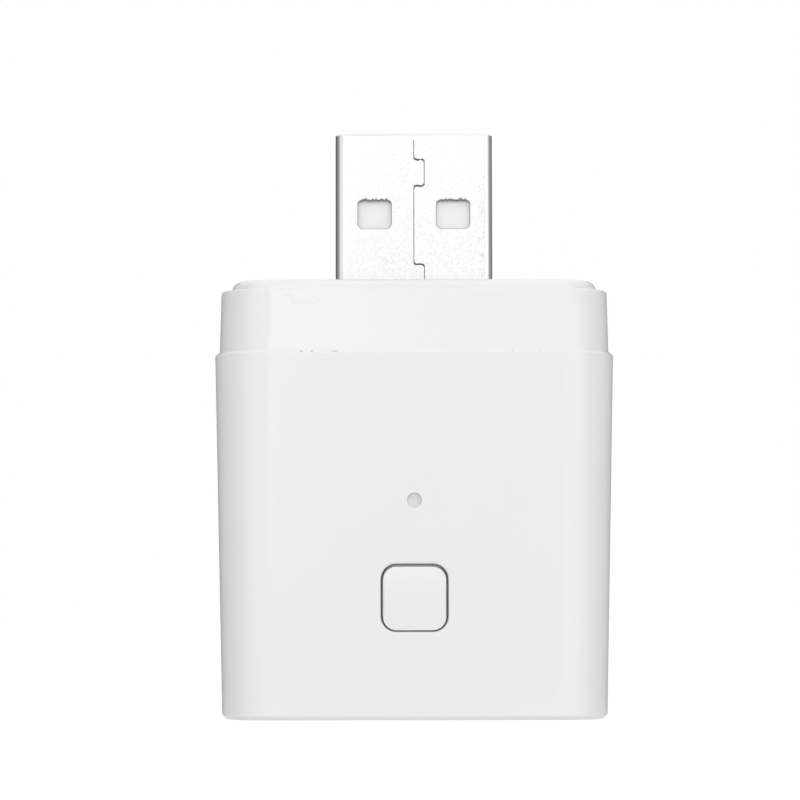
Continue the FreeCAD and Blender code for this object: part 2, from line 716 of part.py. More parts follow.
def make_main_board():
    """The circuit board, with slots for the legs of the two metal shells."""
    body = new_body("main_board")
    middle = (board_bottom + board_top) / 2
    outline = rectangle(0, middle, board_width, board_top - board_bottom)
    extrude(body, "board", "Y", [outline], board_front, board_back)
    width = dim.sheet_metal + 2 * dim.leg_gap
    height = dim.leg_width + 2 * dim.leg_gap
    plug_leg = (dim.plug_width - dim.sheet_metal) / 2
    socket_leg = (socket_outer_width - dim.sheet_metal) / 2
    places = [(plug_leg, plug_legs)] + [(socket_leg, level) for level in SOCKET_LEGS]
    slots = [
        rectangle(side * x, level + dim.leg_width / 2, width, height)
        for side in SIDES
        for x, level in places
    ]
    extrude(body, "leg_slots", "Y", slots, board_front, board_back, cut=True)


def tube_outlines(middle, width, height, fold):
    """The section of a folded metal shell: its outline, and the opening inside it."""
    sheet = dim.sheet_metal
    outer = rectangle(0, middle, width, height, fold)
    inner = rectangle(0, middle, width - 2 * sheet, height - 2 * sheet, fold - sheet)
    return [outer, inner]


def make_plug_shell():
    """The plug's metal shell: one sheet folded round, with a stepped seam down its front."""
    body = new_body("plug_shell")
    section = tube_outlines(0, dim.plug_width, dim.plug_thickness, dim.plug_fold)
    tube = extrude(body, "tube", "Z", section, plug_rear, plug_tip)
    near_skin = dim.sheet_metal / 2
    outer_edges = outside(
        in_plane("Z", plug_tip), dim.plug_width / 2 - near_skin, dim.plug_thickness / 2 - near_skin
    )
    dress(body, "tip_bevel", "Chamfer", tube, outer_edges, dim.tip_edge)
    middle = plug_tip - dim.window_setback - dim.window_height / 2
    windows = [
        rectangle(
            side * dim.window_spread / 2,
            middle,
            dim.window_width,
            dim.window_height,
            dim.window_corner,
        )
        for side in SIDES
    ]
    half = dim.plug_thickness / 2
    extrude(body, "latch_windows", "Y", windows, -half, half, cut=True)
    extrude(body, "seam", "Y", [seam_outline()], -half, -half / 2, cut=True)
    add_legs(body, "legs", dim.plug_width, 0, [plug_legs])


def seam_outline():
    """The narrow gap where the sheet's two edges meet: the left edge's tabs fill notches in the right."""
    half, step = dim.seam_gap / 2, dim.seam_step_gap / 2
    radius = dim.seam_corner
    reach = dim.tab_reach
    tab_1 = plug_tip - dim.tab_setback
    tab_2 = tab_1 - dim.tab_pitch
    margin = dim.sheet_metal
    top, bottom = plug_tip + margin, plug_rear - margin
    steps = (
        (tab_1, reach),
        (tab_1 - dim.tab_height, 0),
        (tab_2, reach),
        (tab_2 - dim.tab_height, 0),
    )
    left = [(-half, top)]
    right = [(half, top)]
    x_before = 0
    for level, x in steps:
        outwards = 1 if measure(x).value > 0 else -1
        left.append((x_before - half, level - outwards * step, radius))
        left.append((x - half, level - outwards * step, radius))
        right.append((x_before + half, level + outwards * step, radius))
        right.append((x + half, level + outwards * step, radius))
        x_before = x
    left.append((x_before - half, bottom))
    right.append((x_before + half, bottom))
    return left + right[::-1]


def add_legs(body, name, width, start, levels):
    """Solder legs that carry a metal shell's side walls on through the board."""
    outer = width / 2
    inner = outer - dim.sheet_metal
    legs = []
    for low, high in ((-outer, -inner), (inner, outer)):
        legs += [span(low, high, level, level + dim.leg_width) for level in levels]
    extrude(body, name, "Y", legs, start, legs_end)


def make_plug_insulator():
    """The plug's plastic core: a plate that carries the contacts, and a block that fills the rear."""
    body = new_body("plug_insulator")
    half_width = plug_room_half - dim.insert_gap
    front = -(plug_room_back - dim.insert_gap)
    radius = dim.plug_fold - dim.sheet_metal
    plate = [
        (-half_width, front, radius),
        (half_width, front, radius),
        (half_width, contact_face),
        (-half_width, contact_face),
    ]
    plate_end = plug_tip - dim.insulator_setback
    carrier = extrude(body, "plate", "Z", [plate], plug_rear, plate_end)
    edge = in_plane("Z", plate_end, {"Y": (contact_face, contact_face)})
    dress(body, "lead_in", "Chamfer", carrier, edge, dim.insulator_lead)
    block = rectangle(0, 0, 2 * half_width, -2 * front, radius)
    extrude(body, "block", "Z", [block], plug_rear, plug_tip - dim.cavity_length)
    groove = dim.contact_thickness + 2 * dim.contact_sink
    half = dim.contact_width / 2 + dim.contact_side_gap
    for number, x, setback in CONTACTS:
        slot = span(x - half, x + half, contact_face - groove, contact_face)
        start = plug_rear
        end = plug_tip - setback + dim.contact_side_gap
        extrude(body, f"groove_{number}", "Z", [slot], start, end, cut=True)


def make_plug_contact(number, x, setback):
    """One stamped contact: a flat blade in the plug, and a tail bent down to a foot on the board."""
    body = new_body(f"plug_contact_{number}")
    outer = contact_face - dim.contact_sink
    inner = outer - dim.contact_thickness
    bend = dim.contact_bend
    half = dim.contact_width / 2
    blade = span(inner, outer, plug_rear + bend, plug_tip - setback)
    extrude(body, "blade", "X", [blade], x - half, x + half)
    add_tail(body, x, (outer, inner), plug_rear + 2 * bend, plug_tails, -1)


def add_tail(body, x, faces, start, level, way):
    """A contact's tail: it turns towards the board at a level, and ends in a foot that runs up or down."""
    rear_face, front_face = faces
    sheet, bend = dim.contact_thickness, dim.contact_bend
    sheet_half = way * sheet / 2
    near, far = level - sheet_half, level + sheet_half
    foot_top = board_back + sheet
    foot_end = far + way * dim.foot_length
    tail = [
        (rear_face, start),
        (front_face, start),
        (front_face, near),
        (board_back, near),
        (board_back, foot_end),
        (foot_top, foot_end),
        (foot_top, far),
        (rear_face, far, bend),
    ]
    half = dim.tail_width / 2
    extrude(body, "tail", "X", [tail], x - half, x + half)


def make_socket_shell():
    """The socket's metal shell: a folded tube with sprung tabs, solder legs and a closed rear."""
    body = new_body("socket_shell")
    sheet = dim.sheet_metal
    section = tube_outlines(
        socket_middle, socket_outer_width, socket_outer_height, dim.socket_fold
    )
    extrude(body, "tube", "Z", section, socket_mouth, socket_rear)
    plate = rectangle(
        0, socket_middle, socket_outer_width, socket_outer_height, dim.socket_fold
    )
    extrude(body, "rear_flap", "Z", [plate], socket_rear - sheet, socket_rear)
    relief_half = dim.socket_width / 2 - dim.socket_fold
    relief = span(-relief_half, relief_half, socket_rear - dim.shell_cutback, socket_rear - sheet)
    extrude(body, "pin_relief", "Y", [relief], board_back, socket_front, cut=True)
    for facing, name in ((-1, "front"), (1, "back")):
        add_spring_tabs(body, facing, name)
    add_legs(body, "legs", socket_outer_width, socket_middle, SOCKET_LEGS)


def add_spring_tabs(body, facing, name):
    """Two sprung tabs in one face: each is slit free on three sides and dips in to grip a plug."""
    outer = socket_middle + facing * socket_outer_height / 2
    inner = socket_middle + facing * dim.socket_height / 2
    dip, flare = facing * dim.spring_dip, facing * dim.spring_flare
    root, crest, tip = (
        socket_mouth + place for place in (dim.spring_root, dim.spring_crest, dim.spring_tip)
    )
    width = dim.spring_width + 2 * dim.spring_slit
    windows, fingers = [], []
    for side in SIDES:
        middle = side * dim.spring_spread / 2
        windows.append(
            span(middle - width / 2, middle + width / 2, tip - dim.spring_slit, root)
        )
        fingers.append((middle - dim.spring_width / 2, middle + dim.spring_width / 2))
    extrude(body, f"{name}_slits", "Y", windows, outer, inner, cut=True)
    end = root + dim.sheet_metal
    profile = [
        (outer, end),
        (outer, root),
        (outer - dip, crest),
        (outer - dip + flare, tip),
        (inner - dip + flare, tip),
        (inner - dip, crest),
        (inner, root),
        (inner, end),
    ]
    for number, (start, stop) in enumerate(fingers, start=1):
        extrude(body, f"{name}_tab_{number}", "X", [profile], start, stop)


def make_socket_insulator():
    """The socket's plastic core: a tongue with grooves for the contacts, on a block that fills the rear."""
    body = new_body("socket_insulator")
    gap = dim.insert_gap
    rear = socket_rear - dim.sheet_metal
    half_width = dim.socket_width / 2 - gap
    radius = dim.socket_fold - dim.sheet_metal
    block = span(-half_width, half_width, socket_front + gap, socket_back - gap, radius)
    extrude(body, "block", "Z", [block], block_start, rear)
    half_tongue = dim.tongue_width / 2
    tongue = span(-half_tongue, half_tongue, tongue_front, tongue_back)
    blade = extrude(body, "tongue", "Z", [tongue], tongue_tip, block_start)
    edges = in_plane("Z", tongue_tip)
    dress(body, "lead_in", "Chamfer", blade, edges, dim.tongue_lead)
    half = dim.contact_width / 2 + dim.contact_side_gap
    half_tail = dim.tail_width / 2 + dim.contact_side_gap
    groove = tongue_front + dim.contact_thickness + 2 * dim.contact_sink + dim.contact_bow / 2
    tail_room = dim.contact_bend - dim.contact_thickness / 2 + dim.contact_side_gap
    tail_low, tail_high = socket_tails - tail_room, socket_tails + tail_room
    start = tongue_tip + dim.bow_start - dim.contact_side_gap
    for number, x, _ in CONTACTS:
        slot = span(x - half, x + half, tongue_front, groove)
        extrude(body, f"groove_{number}", "Z", [slot], start, tail_high, cut=True)
        way_out = span(x - half_tail, x + half_tail, tail_low, tail_high)
        extrude(body, f"tail_slot_{number}", "Y", [way_out], socket_front, groove, cut=True)


def make_socket_contact(number, x):
    """One sprung contact: it bows out of the tongue, and its tail is bent down to a foot on the board."""
    body = new_body(f"socket_contact_{number}")
    sheet = dim.contact_thickness
    flat = tongue_front + dim.contact_sink
    sunk, crest = flat + dim.contact_bow / 2, flat - dim.contact_bow
    end = tongue_tip + dim.bow_start
    rise = end + dim.bow_length
    fall = rise + dim.bow_crest
    level = fall + dim.bow_length
    stop = socket_tails - 2 * dim.contact_bend
    half = dim.contact_width / 2
    spring = [
        (sunk, end),
        (crest, rise),
        (crest, fall),
        (flat, level),
        (flat, stop),
        (flat + sheet, stop),
        (flat + sheet, level),
        (crest + sheet, fall),
        (crest + sheet, rise),
        (sunk + sheet, end),
    ]
    extrude(body, "spring", "X", [spring], x - half, x + half)
    add_tail(body, x, (flat + sheet, flat), stop - dim.contact_bend, socket_tails, 1)


def make_button_cap():
    """The push button: a square key with a slightly bowed face, a flange behind the wall and a stem."""
    body = new_body("button_cap")
    height = dim.button_height - dim.button_sag
    side = dim.opening_size - 2 * dim.button_gap
    corner = dim.opening_corner - dim.button_gap
    flange_side = dim.opening_size + 2 * dim.flange_overlap
    flange_front = shell_inside(height - flange_side / 2) + dim.flange_gap
    flange_back = flange_front + dim.flange_thickness
    face = shell_face(height) - dim.button_proud
    key = rectangle(0, height, side, side, corner)
    crown = extrude(body, "key", "Y", [key], flange_front, face)
    dress(body, "face_bevel", "Chamfer", crown, in_plane("Y", face), dim.button_edge)
    radius = dim.button_bow
    ring = [circle(face + radius, height, 2 * reach) for reach in (radius, radius + dim.button_skin)]
    extrude(body, "bow", "X", ring, -side, side, cut=True)
    flange = rectangle(0, height, flange_side, flange_side)
    extrude(body, "flange", "Y", [flange], flange_front, flange_back)
    hollow_side = side - 2 * dim.button_wall
    hollow = rectangle(0, height, hollow_side, hollow_side)
    bottom = face + dim.button_skin
    extrude(body, "hollow", "Y", [hollow], flange_back, bottom, cut=True)
    stem = circle(0, height, dim.stem_diameter)
    tip = board_front - dim.switch_rise
    extrude(body, "stem", "Y", [stem], bottom - dim.button_skin / 2, tip)


def above_board(height):
    """A height above the board's front face, as a place along Y."""
    return board_front - height


def make_switch():
    """The tactile switch behind the button: base, snap dome, plunger, cover and terminals."""
    level = dim.button_height
    base_top = dim.switch_base_height
    side = dim.switch_side

    base = new_body("switch_base")
    outline = rectangle(0, level, side, side)
    extrude(base, "base", "Y", [outline], above_board(0), above_board(base_top))
    well = circle(0, level, dim.switch_well)
    low, high = above_board(dim.switch_well_floor), above_board(base_top)
    extrude(base, "well", "Y", [well], low, high, cut=True)

    cover = new_body("switch_cover")
    hole = circle(0, level, dim.plunger_neck + 2 * dim.plunger_gap)
    top = base_top + dim.switch_cover_sheet
    extrude(cover, "cover", "Y", [outline, hole], above_board(base_top), above_board(top))

    plunger = new_body("switch_plunger")
    dome_top = dim.switch_well_floor + dim.dome_rise
    reach = above_board(dim.switch_rise)
    profile = [
        (above_board(dome_top), 0),
        (above_board(dome_top), dim.plunger_flange / 2),
        (above_board(base_top), dim.plunger_flange / 2),
        (above_board(base_top), dim.plunger_neck / 2),
        (reach, dim.plunger_neck / 2),
        (reach, 0),
    ]
    turn(plunger, "plunger", (0, level), [profile])

    make_snap_dome(level)

    terminals = []
    pitch = dim.terminal_spread
    for across in SIDES:
        for along in SIDES:
            terminals.append((across, level + along * pitch / 2))
    boxes = []
    for number, (across, height) in enumerate(terminals, start=1):
        box = doc.addObject("Part::Box", f"terminal_{number}")
        bind(box, "Length", dim.terminal_reach)
        bind(box, "Width", dim.terminal_sheet)
        bind(box, "Height", dim.terminal_width)
        start = side / 2 if across > 0 else -side / 2 - dim.terminal_reach
        bind(box, "Placement.Base.x", start)
        bind(box, "Placement.Base.y", board_front - dim.terminal_sheet)
        bind(box, "Placement.Base.z", height - dim.terminal_width / 2)
        boxes.append(box)
    group = doc.addObject("Part::MultiFuse", "switch_terminals")
    group.Label = "switch_terminals"
    group.Shapes = boxes
    subparts.append(group)


def make_snap_dome(level):
    """The thin metal dome that clicks: a cone-sided cup turned about the button's axis."""
    body = new_body("switch_dome")
    foot = above_board(dim.switch_well_floor)
    top = foot - dim.dome_rise
    sheet = dim.dome_sheet
    radius = dim.dome_diameter / 2
    shoulder = radius / 2
    profile = [
        (foot, radius),
        (top, shoulder),
        (top, 0),
        (top + sheet, 0),
        (top + sheet, shoulder - sheet),
        (foot, radius - 2 * sheet),
    ]
    turn(body, "dome", (0, level), [profile])


def make_light_guide():
    """The clear pin that carries the lamp's light to the front: shank, collar and tail."""
    body = new_body("light_guide")
    height = dim.indicator_height
    shank = dim.indicator_hole / 2 - dim.guide_gap
    face = shell_face(height) + dim.guide_recess
    collar_front = shell_inside(height) + dim.boss_height
    collar_back = collar_front + dim.guide_collar_height
    tail = above_board(dim.lamp_height + dim.guide_lamp_gap)
    profile = [
        (face, 0),
        (face, shank),
        (collar_front, shank),
        (collar_front, dim.guide_collar / 2),
        (collar_back, dim.guide_collar / 2),
        (collar_back, shank),
        (tail, shank),
        (tail, 0),
    ]
    turn(body, "guide", (0, height), [profile])


def make_indicator_lamp():
    """The small lamp on the board under the light guide."""
    body = new_body("indicator_lamp")
    height = dim.indicator_height
    base = rectangle(0, height, dim.lamp_width, dim.lamp_depth)
    lens = rectangle(0, height, dim.lamp_width * 2 / 3, dim.lamp_depth)
    middle = dim.lamp_height / 2
    extrude(body, "base", "Y", [base], above_board(0), above_board(middle))
    extrude(body, "lens", "Y", [lens], above_board(middle), above_board(dim.lamp_height))


def make_radio_module():
    """The radio module on the board's back face, between the two connectors."""
    low = socket_rear + dim.module_gap
    high = plug_tails - dim.contact_thickness / 2 - dim.foot_length - dim.module_gap
    left, right = -dim.module_width / 2, dim.module_width / 2
    top = board_back + dim.module_board

    board = new_body("module_board")
    extrude(board, "board", "Y", [span(left, right, low, high)], board_back, top)

    margin = dim.shield_margin
    shield_left = left + dim.antenna_width
    inner_left, inner_right = shield_left + dim.shield_sheet, right - margin - dim.shield_sheet
    outer = span(shield_left, right - margin, low + margin, high - margin)
    sheet = dim.shield_sheet
    inner = span(inner_left, inner_right, low + margin + sheet, high - margin - sheet)
    lid = top + dim.shield_height
    shield = new_body("module_shield")
    extrude(shield, "outside", "Y", [outer], top, lid)
    extrude(shield, "inside", "Y", [inner], top, lid - sheet, cut=True)

    middle = (low + high) / 2
    chip = new_body("radio_chip")
    clear = dim.shield_sheet
    chip_x = inner_left + clear + dim.chip_side / 2
    package = rectangle(chip_x, middle, dim.chip_side, dim.chip_side)
    extrude(chip, "package", "Y", [package], top, top + dim.chip_height)

    crystal = new_body("crystal")
    crystal_x = inner_right - clear - dim.crystal_width / 2
    can = rectangle(crystal_x, middle, dim.crystal_width, dim.crystal_depth)
    extrude(crystal, "can", "Y", [can], top, top + dim.crystal_height)


def leaded_chip(label, x, size, leads):
    """A moulded chip with bent leads. A lead is its side (-1 below, 1 above), its offset and its width."""
    width, depth, height = size
    level = dim.parts_height
    body = new_body(label)
    package = rectangle(x, level, width, depth)
    stand = dim.lead_sheet / 2
    extrude(body, "package", "Y", [package], above_board(stand), above_board(height))
    middle = height / 2
    sheet = dim.lead_sheet
    for number, (side, offset, lead_width) in enumerate(leads, start=1):
        root = level + side * (depth / 2 - sheet)
        knee = level + side * (depth / 2 + dim.lead_reach / 2)
        toe = level + side * (depth / 2 + dim.lead_reach)
        profile = [
            (above_board(middle + sheet / 2), root),
            (above_board(middle + sheet / 2), knee),
            (above_board(sheet), knee),
            (above_board(sheet), toe),
            (above_board(0), toe),
            (above_board(0), knee - side * sheet),
            (above_board(middle - sheet / 2), knee - side * sheet),
            (above_board(middle - sheet / 2), root),
        ]
        start = x + offset - lead_width / 2
        extrude(body, f"lead_{number}", "X", [profile], start, start + lead_width)


def make_power_parts():
    """The power switch chip, the voltage regulator and the two capacitors beside them."""
    chip_x = board_width / 2 - dim.parts_inset
    power_size = (dim.power_chip_width, dim.power_chip_depth, dim.power_chip_height)
    power_leads = [
        (side, place * dim.lead_pitch / 2, dim.lead_width)
        for side in SIDES
        for place in (-3, -1, 1, 3)
    ]
    leaded_chip("power_switch_chip", chip_x, power_size, power_leads)
    regulator_size = (dim.regulator_width, dim.regulator_depth, dim.regulator_height)
    pitch = dim.regulator_width / 3
    regulator_leads = [(-1, place * pitch, dim.lead_width * 1.5) for place in (-1, 0, 1)]
    regulator_leads.append((1, measure(0), dim.regulator_width / 2))
    leaded_chip("voltage_regulator", -chip_x, regulator_size, regulator_leads)
    capacitor_x = board_width / 2 - dim.capacitor_inset
    for side, label in ((-1, "input_capacitor"), (1, "output_capacitor")):
        make_capacitor(label, side * capacitor_x)


def make_capacitor(label, x):
    """A surface capacitor: a block between two slightly thicker metal ends."""
    body = new_body(label)
    level = dim.capacitor_height_on_board
    skin = dim.lead_sheet / 4
    core_width, core_depth = dim.capacitor_width, dim.capacitor_depth - 2 * skin
    core = rectangle(x, level, core_width, core_depth)
    low, high = above_board(skin), above_board(dim.capacitor_height - skin)
    extrude(body, "core", "Y", [core], low, high)
    offset = (dim.capacitor_width - dim.capacitor_cap) / 2
    ends = [
        rectangle(x + side * offset, level, dim.capacitor_cap, dim.capacitor_depth)
        for side in SIDES
    ]
    extrude(body, "ends", "Y", ends, above_board(0), above_board(dim.capacitor_height))


make_lower_shell()
make_top_cap()
make_main_board()
make_plug_shell()
make_plug_insulator()
make_socket_shell()
make_socket_insulator()
for contact_number, contact_x, contact_setback in CONTACTS:
    make_plug_contact(contact_number, contact_x, contact_setback)
    make_socket_contact(contact_number, contact_x)
make_button_cap()
make_switch()
make_light_guide()
make_indicator_lamp()
make_radio_module()
make_power_parts()
doc.recompute()

failed = [thing.Name for thing in doc.Objects if {"Invalid", "Error"} & set(thing.State)]
if failed:
    raise RuntimeError(f"these objects failed: {failed}")
os.makedirs("parts", exist_ok=True)
for subpart in subparts:
    shape = subpart.Shape
    if shape.isNull() or not shape.isValid() or not shape.Solids:
        raise RuntimeError(f"{subpart.Label} has no sound shape")
    shape.exportStep(f"parts/{subpart.Label}.step")
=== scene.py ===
"""The looks of a smart USB adapter: a small white moulded case with a plug on top and a socket in its base.

Every piece is in metres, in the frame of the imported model. X runs across the case, -Y faces the person who presses
the button, and Z runs up through the plug.
"""

import math
import random

import bmesh
import bpy
from mathutils import Matrix, Vector


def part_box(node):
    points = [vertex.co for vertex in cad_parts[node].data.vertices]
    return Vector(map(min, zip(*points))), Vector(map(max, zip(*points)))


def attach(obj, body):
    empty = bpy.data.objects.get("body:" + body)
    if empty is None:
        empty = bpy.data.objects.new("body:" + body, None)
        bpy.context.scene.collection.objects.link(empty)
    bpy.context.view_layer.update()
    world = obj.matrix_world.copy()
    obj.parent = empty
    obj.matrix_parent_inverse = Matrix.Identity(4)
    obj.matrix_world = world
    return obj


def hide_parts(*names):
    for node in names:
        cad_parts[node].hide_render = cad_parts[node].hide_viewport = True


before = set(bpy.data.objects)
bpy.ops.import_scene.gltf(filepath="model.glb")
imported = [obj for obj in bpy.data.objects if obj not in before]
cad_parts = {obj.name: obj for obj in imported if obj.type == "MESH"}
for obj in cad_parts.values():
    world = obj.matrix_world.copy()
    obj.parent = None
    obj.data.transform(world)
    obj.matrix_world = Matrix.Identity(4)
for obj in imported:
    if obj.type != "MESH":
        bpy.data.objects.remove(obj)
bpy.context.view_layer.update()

MM = 0.001
WELD = 0.0005 * MM
FLAT = math.radians(0.1)
FLAT_SHARE = math.cos(math.radians(0.3))
NEW, CURVE, PLANE = 0, 1, 2
PICTURE_PIXELS = 800
FOCAL_PIXELS = 3277.7
WORLD_LEVEL = 1.24
ABOVE_LEVEL = 0.81
FLOOR_GLOW = 0.8
LEFT_POWER = 0.07
RIGHT_POWER = 0.38
TOP_POWER = 0.2
BACK_POWER = 0.2
FLAG_DEPTH = 0.4
FLAG_HEIGHT = 0.5
FLOOR_DROP = 0.01 * MM


class Value:
    """The output of a shader node. Sums, products and powers of it add Math nodes."""

    def __init__(self, finish, socket):
        self.finish = finish
        self.socket = socket

    def maths(self, operation, first, *others, clamp=False):
        settings = {"operation": operation, "use_clamp": clamp}
        return self.finish.node("Math", settings, dict(enumerate((first, *others))))

    def __add__(self, other):
        return self.maths("ADD", self, other)

    def __radd__(self, other):
        return self.maths("ADD", other, self)

    def __sub__(self, other):
        return self.maths("SUBTRACT", self, other)

    def __rsub__(self, other):
        return self.maths("SUBTRACT", other, self)

    def __mul__(self, other):
        return self.maths("MULTIPLY", self, other)

    def __rmul__(self, other):
        return self.maths("MULTIPLY", other, self)

    def __truediv__(self, other):
        return self.maths("DIVIDE", self, other)

    def __pow__(self, other):
        return self.maths("POWER", self, other)

    def above(self, level):
        return self.maths("GREATER_THAN", self, level)

    def size(self):
        return self.maths("ABSOLUTE", self)

    def most(self, other):
        return self.maths("MAXIMUM", self, other)

    def least(self, other):
        return self.maths("MINIMUM", self, other)

    def held(self):
        """Kept between 0 and 1."""
        return self.maths("ADD", self, 0.0, clamp=True)

    def ramp(self, start, end):
        """0 at one value, 1 at another, and smooth between."""
        return self.finish.node(
            "MapRange", {"interpolation_type": "SMOOTHSTEP"}, {"Value": self, "From Min": start, "From Max": end}
        )


class Finish:
    """A material that is built up from nodes."""

    def __init__(self, name, owner=None):
        self.owner = owner or bpy.data.materials.new(name)
        self.owner.use_nodes = True
        self.tree = self.owner.node_tree
        self.tree.nodes.clear()

    def node(self, kind, settings=None, sockets=None, output=0):
        """Adds a node: its settings first, then the values or links of its sockets."""
        made = self.tree.nodes.new("ShaderNode" + kind)
        for name, value in (settings or {}).items():
            setattr(made, name, value)
        for key, value in (sockets or {}).items():
            if isinstance(value, Value):
                self.tree.links.new(value.socket, made.inputs[key])
            elif value is not None:
                made.inputs[key].default_value = value
        return Value(self, made.outputs[output]) if made.outputs else made

    def place(self):
        """Where a point of the surface lies."""
        return self.node("TexCoord", output="Object")

    def axes(self):
        """The place as three values."""
        split = self.node("SeparateXYZ", sockets={"Vector": self.place()})
        outputs = split.socket.node.outputs
        return [Value(self, outputs[axis]) for axis in "XYZ"]

    def noise(self, grain, detail=2.0, roughness=0.5, stretch=(1, 1, 1), shift=(0, 0, 0)):
        """Noise whose lumps are about a grain long."""
        moved = self.node(
            "Mapping", sockets={"Vector": self.place(), "Scale": stretch, "Location": shift}
        )
        return self.node(
            "TexNoise", sockets={"Vector": moved, "Scale": 1 / grain, "Detail": detail, "Roughness": roughness}
        )

    def blend(self, share, first, second):
        """One colour turning into another."""
        mix = self.node("Mix", {"data_type": "RGBA"}, output=2)
        for slot, value in ((0, share), (6, first), (7, second)):
            socket = mix.socket.node.inputs[slot]
            if isinstance(value, Value):
                self.tree.links.new(value.socket, socket)
            else:
                socket.default_value = value
        return mix

    def bump(self, height, depth, strength=1.0):
        """A bump whose height runs from 0 to 1 over a depth."""
        return self.node("Bump", sockets={"Height": height, "Distance": depth, "Strength": strength})

    def shade(self, **sockets):
        """Ends the material in a Principled shader."""
        names = {name.replace("_", " "): value for name, value in sockets.items()}
        shader = self.node("BsdfPrincipled", sockets=names)
        self.end(shader)
        return self.owner

    def end(self, shader):
        kind = "OutputWorld" if isinstance(self.owner, bpy.types.World) else "OutputMaterial"
        self.node(kind, sockets={"Surface": shader})


def grey(level, warmth=0.0):
    """A nearly neutral colour."""
    return (level * (1 + warmth), level, level * (1 - warmth), 1.0)


def moulded_plastic(name, level, roughness, seed):
    """White moulded plastic: a fine satin grain, a little unevenness in its shine, and specks along the rim."""
    finish = Finish(name)
    grain = finish.noise(0.11 * MM, detail=3.0, shift=(seed, 0, 0))
    cloud = finish.noise(5.0 * MM, shift=(0, seed, 0))
    clean = finish.blend(cloud, grey(level), grey(level * 0.985, 0.001))
    scuffed = finish.blend(scratches(finish), clean, grey(level * 0.88))
    colour = finish.blend(rim_specks(finish), scuffed, grey(0.12))
    height = grain * 0.7 + cloud * 0.3
    return finish.shade(
        Base_Color=colour,
        Roughness=roughness + (cloud - 0.5) * 0.04 + (grain - 0.5) * 0.04,
        IOR=1.5,
        Normal=finish.bump(height, 0.004 * MM, 0.12),
    )


def rim_specks(finish):
    """Short dark flecks along the front of the rim, at its seam with the cap."""
    x, y, z = finish.axes()
    flecks = 0.0
    for middle, half in RIM_FLECKS:
        flecks = flecks + (1 - (x - middle).size().ramp(half, half + 0.05 * MM))
    ragged = finish.noise(0.06 * MM).ramp(0.3, 0.6)
    at_rim = 1 - (z - RIM_FLECK_LEVEL).size().ramp(0.02 * MM, 0.06 * MM)
    return flecks * at_rim * ragged * (0 - y).above(8 * MM) * 0.8


def scratches(finish):
    """Hairline scratches on the front of the cap."""
    x, y, z = finish.axes()
    broken = finish.noise(0.3 * MM).ramp(0.35, 0.55)
    share = 0.0
    for start_x, start_z, end_x, end_z in SCRATCHES:
        run_x, run_z = end_x - start_x, end_z - start_z
        along = (((x - start_x) * run_x + (z - start_z) * run_z) * (1 / (run_x**2 + run_z**2))).held()
        off_x = x - start_x - along * run_x
        off_z = z - start_z - along * run_z
        share = 1 - (off_x * off_x + off_z * off_z).maths("SQRT", off_x * off_x + off_z * off_z).ramp(
            0.01 * MM, SCRATCH_WIDTH
        ) + share
    return share * broken * (0 - y).above(7 * MM)


def rolled_nickel(name, level, roughness):
    """Nickel-plated sheet with slanting pits and a painted sheen that lightens it towards its right side. It is dark
    where it was punched: partly bare steel, and partly painted shade under the windows' tops and in the seam's steps.
    """
    finish = Finish(name)
    x, _, z = finish.axes()
    slant = finish.node("Mapping", sockets={"Vector": finish.place(), "Rotation": (0, -PIT_SLANT, 0)})
    stretched = finish.node("Mapping", sockets={"Vector": slant, "Scale": (1.0, 1.0, 0.33)})
    pits = finish.node(
        "TexNoise", sockets={"Vector": stretched, "Scale": 1 / PIT_SIZE, "Detail": 1.0, "Roughness": 0.5}
    )
    low = 1 - ((z - PLUG_FOOT) / PLUG_STANDS).held()
    right = (x / (6 * MM)).ramp(-0.6, 0.9)
    wear = low * 0.5 + right * 0.5
    strip = x.ramp(4.8 * MM, 5.15 * MM) * (1 - x.ramp(5.35 * MM, 5.5 * MM))
    flat = 1 - x.size().ramp(5.2 * MM, 5.4 * MM)
    faint = pits.ramp(0.47, 0.66) * (0.12 + wear * 0.11) * flat
    deep = pits.ramp(0.56, 0.66) * strip * (0.06 + low * 0.5)
    mask = (faint + deep).held()
    # The dark share is partly bare steel at punched edges and partly painted shade under the windows' tops and in the
    # seam's steps.
    bare_and_shaded = finish.node("Attribute", {"attribute_name": "bare_and_shaded"}, output=2)
    ragged = finish.noise(0.09 * MM, detail=2.0)
    bare_and_shaded_share = (bare_and_shaded * (0.55 + ragged * 0.9)).held()
    # A painted sheen: the plating's colour is painted lighter towards its right side.
    painted_sheen = finish.blend(right, grey(level * 0.89), grey(level * 1.0))
    plated = finish.blend(mask, painted_sheen, grey(level * 0.45))
    colour = finish.blend(bare_and_shaded_share, plated, grey(0.2, 0.02))
    return finish.shade(
        Base_Color=colour,
        Metallic=1.0,
        Roughness=roughness + mask * 0.1 + bare_and_shaded_share * 0.2,
        Normal=finish.bump(1 - mask, 0.006 * MM, 0.4),
    )


def plain_plastic(name, colour, roughness, contrast=0.1, depth=0.004 * MM):
    """Moulded plastic without a special finish."""
    finish = Finish(name)
    grain = finish.noise(0.1 * MM, detail=3.0)
    darker = tuple(channel * (1 - contrast) for channel in colour[:3]) + (1.0,)
    return finish.shade(
        Base_Color=finish.blend(grain.ramp(0.3, 0.7), colour, darker),
        Roughness=roughness + (grain - 0.5) * 0.1,
        Normal=finish.bump(grain, depth, 0.5),
    )


def sheet_metal(name, colour, roughness, stretch=(1, 1, 1)):
    """Rolled or plated metal with faint lines."""
    finish = Finish(name)
    lines = finish.noise(0.08 * MM, detail=3.0, stretch=stretch)
    darker = tuple(channel * 0.88 for channel in colour[:3]) + (1.0,)
    return finish.shade(
        Base_Color=finish.blend(lines.ramp(0.35, 0.7), colour, darker),
        Metallic=1.0,
        Roughness=roughness + (lines - 0.5) * 0.15,
        Normal=finish.bump(lines, 0.003 * MM, 0.4),
    )


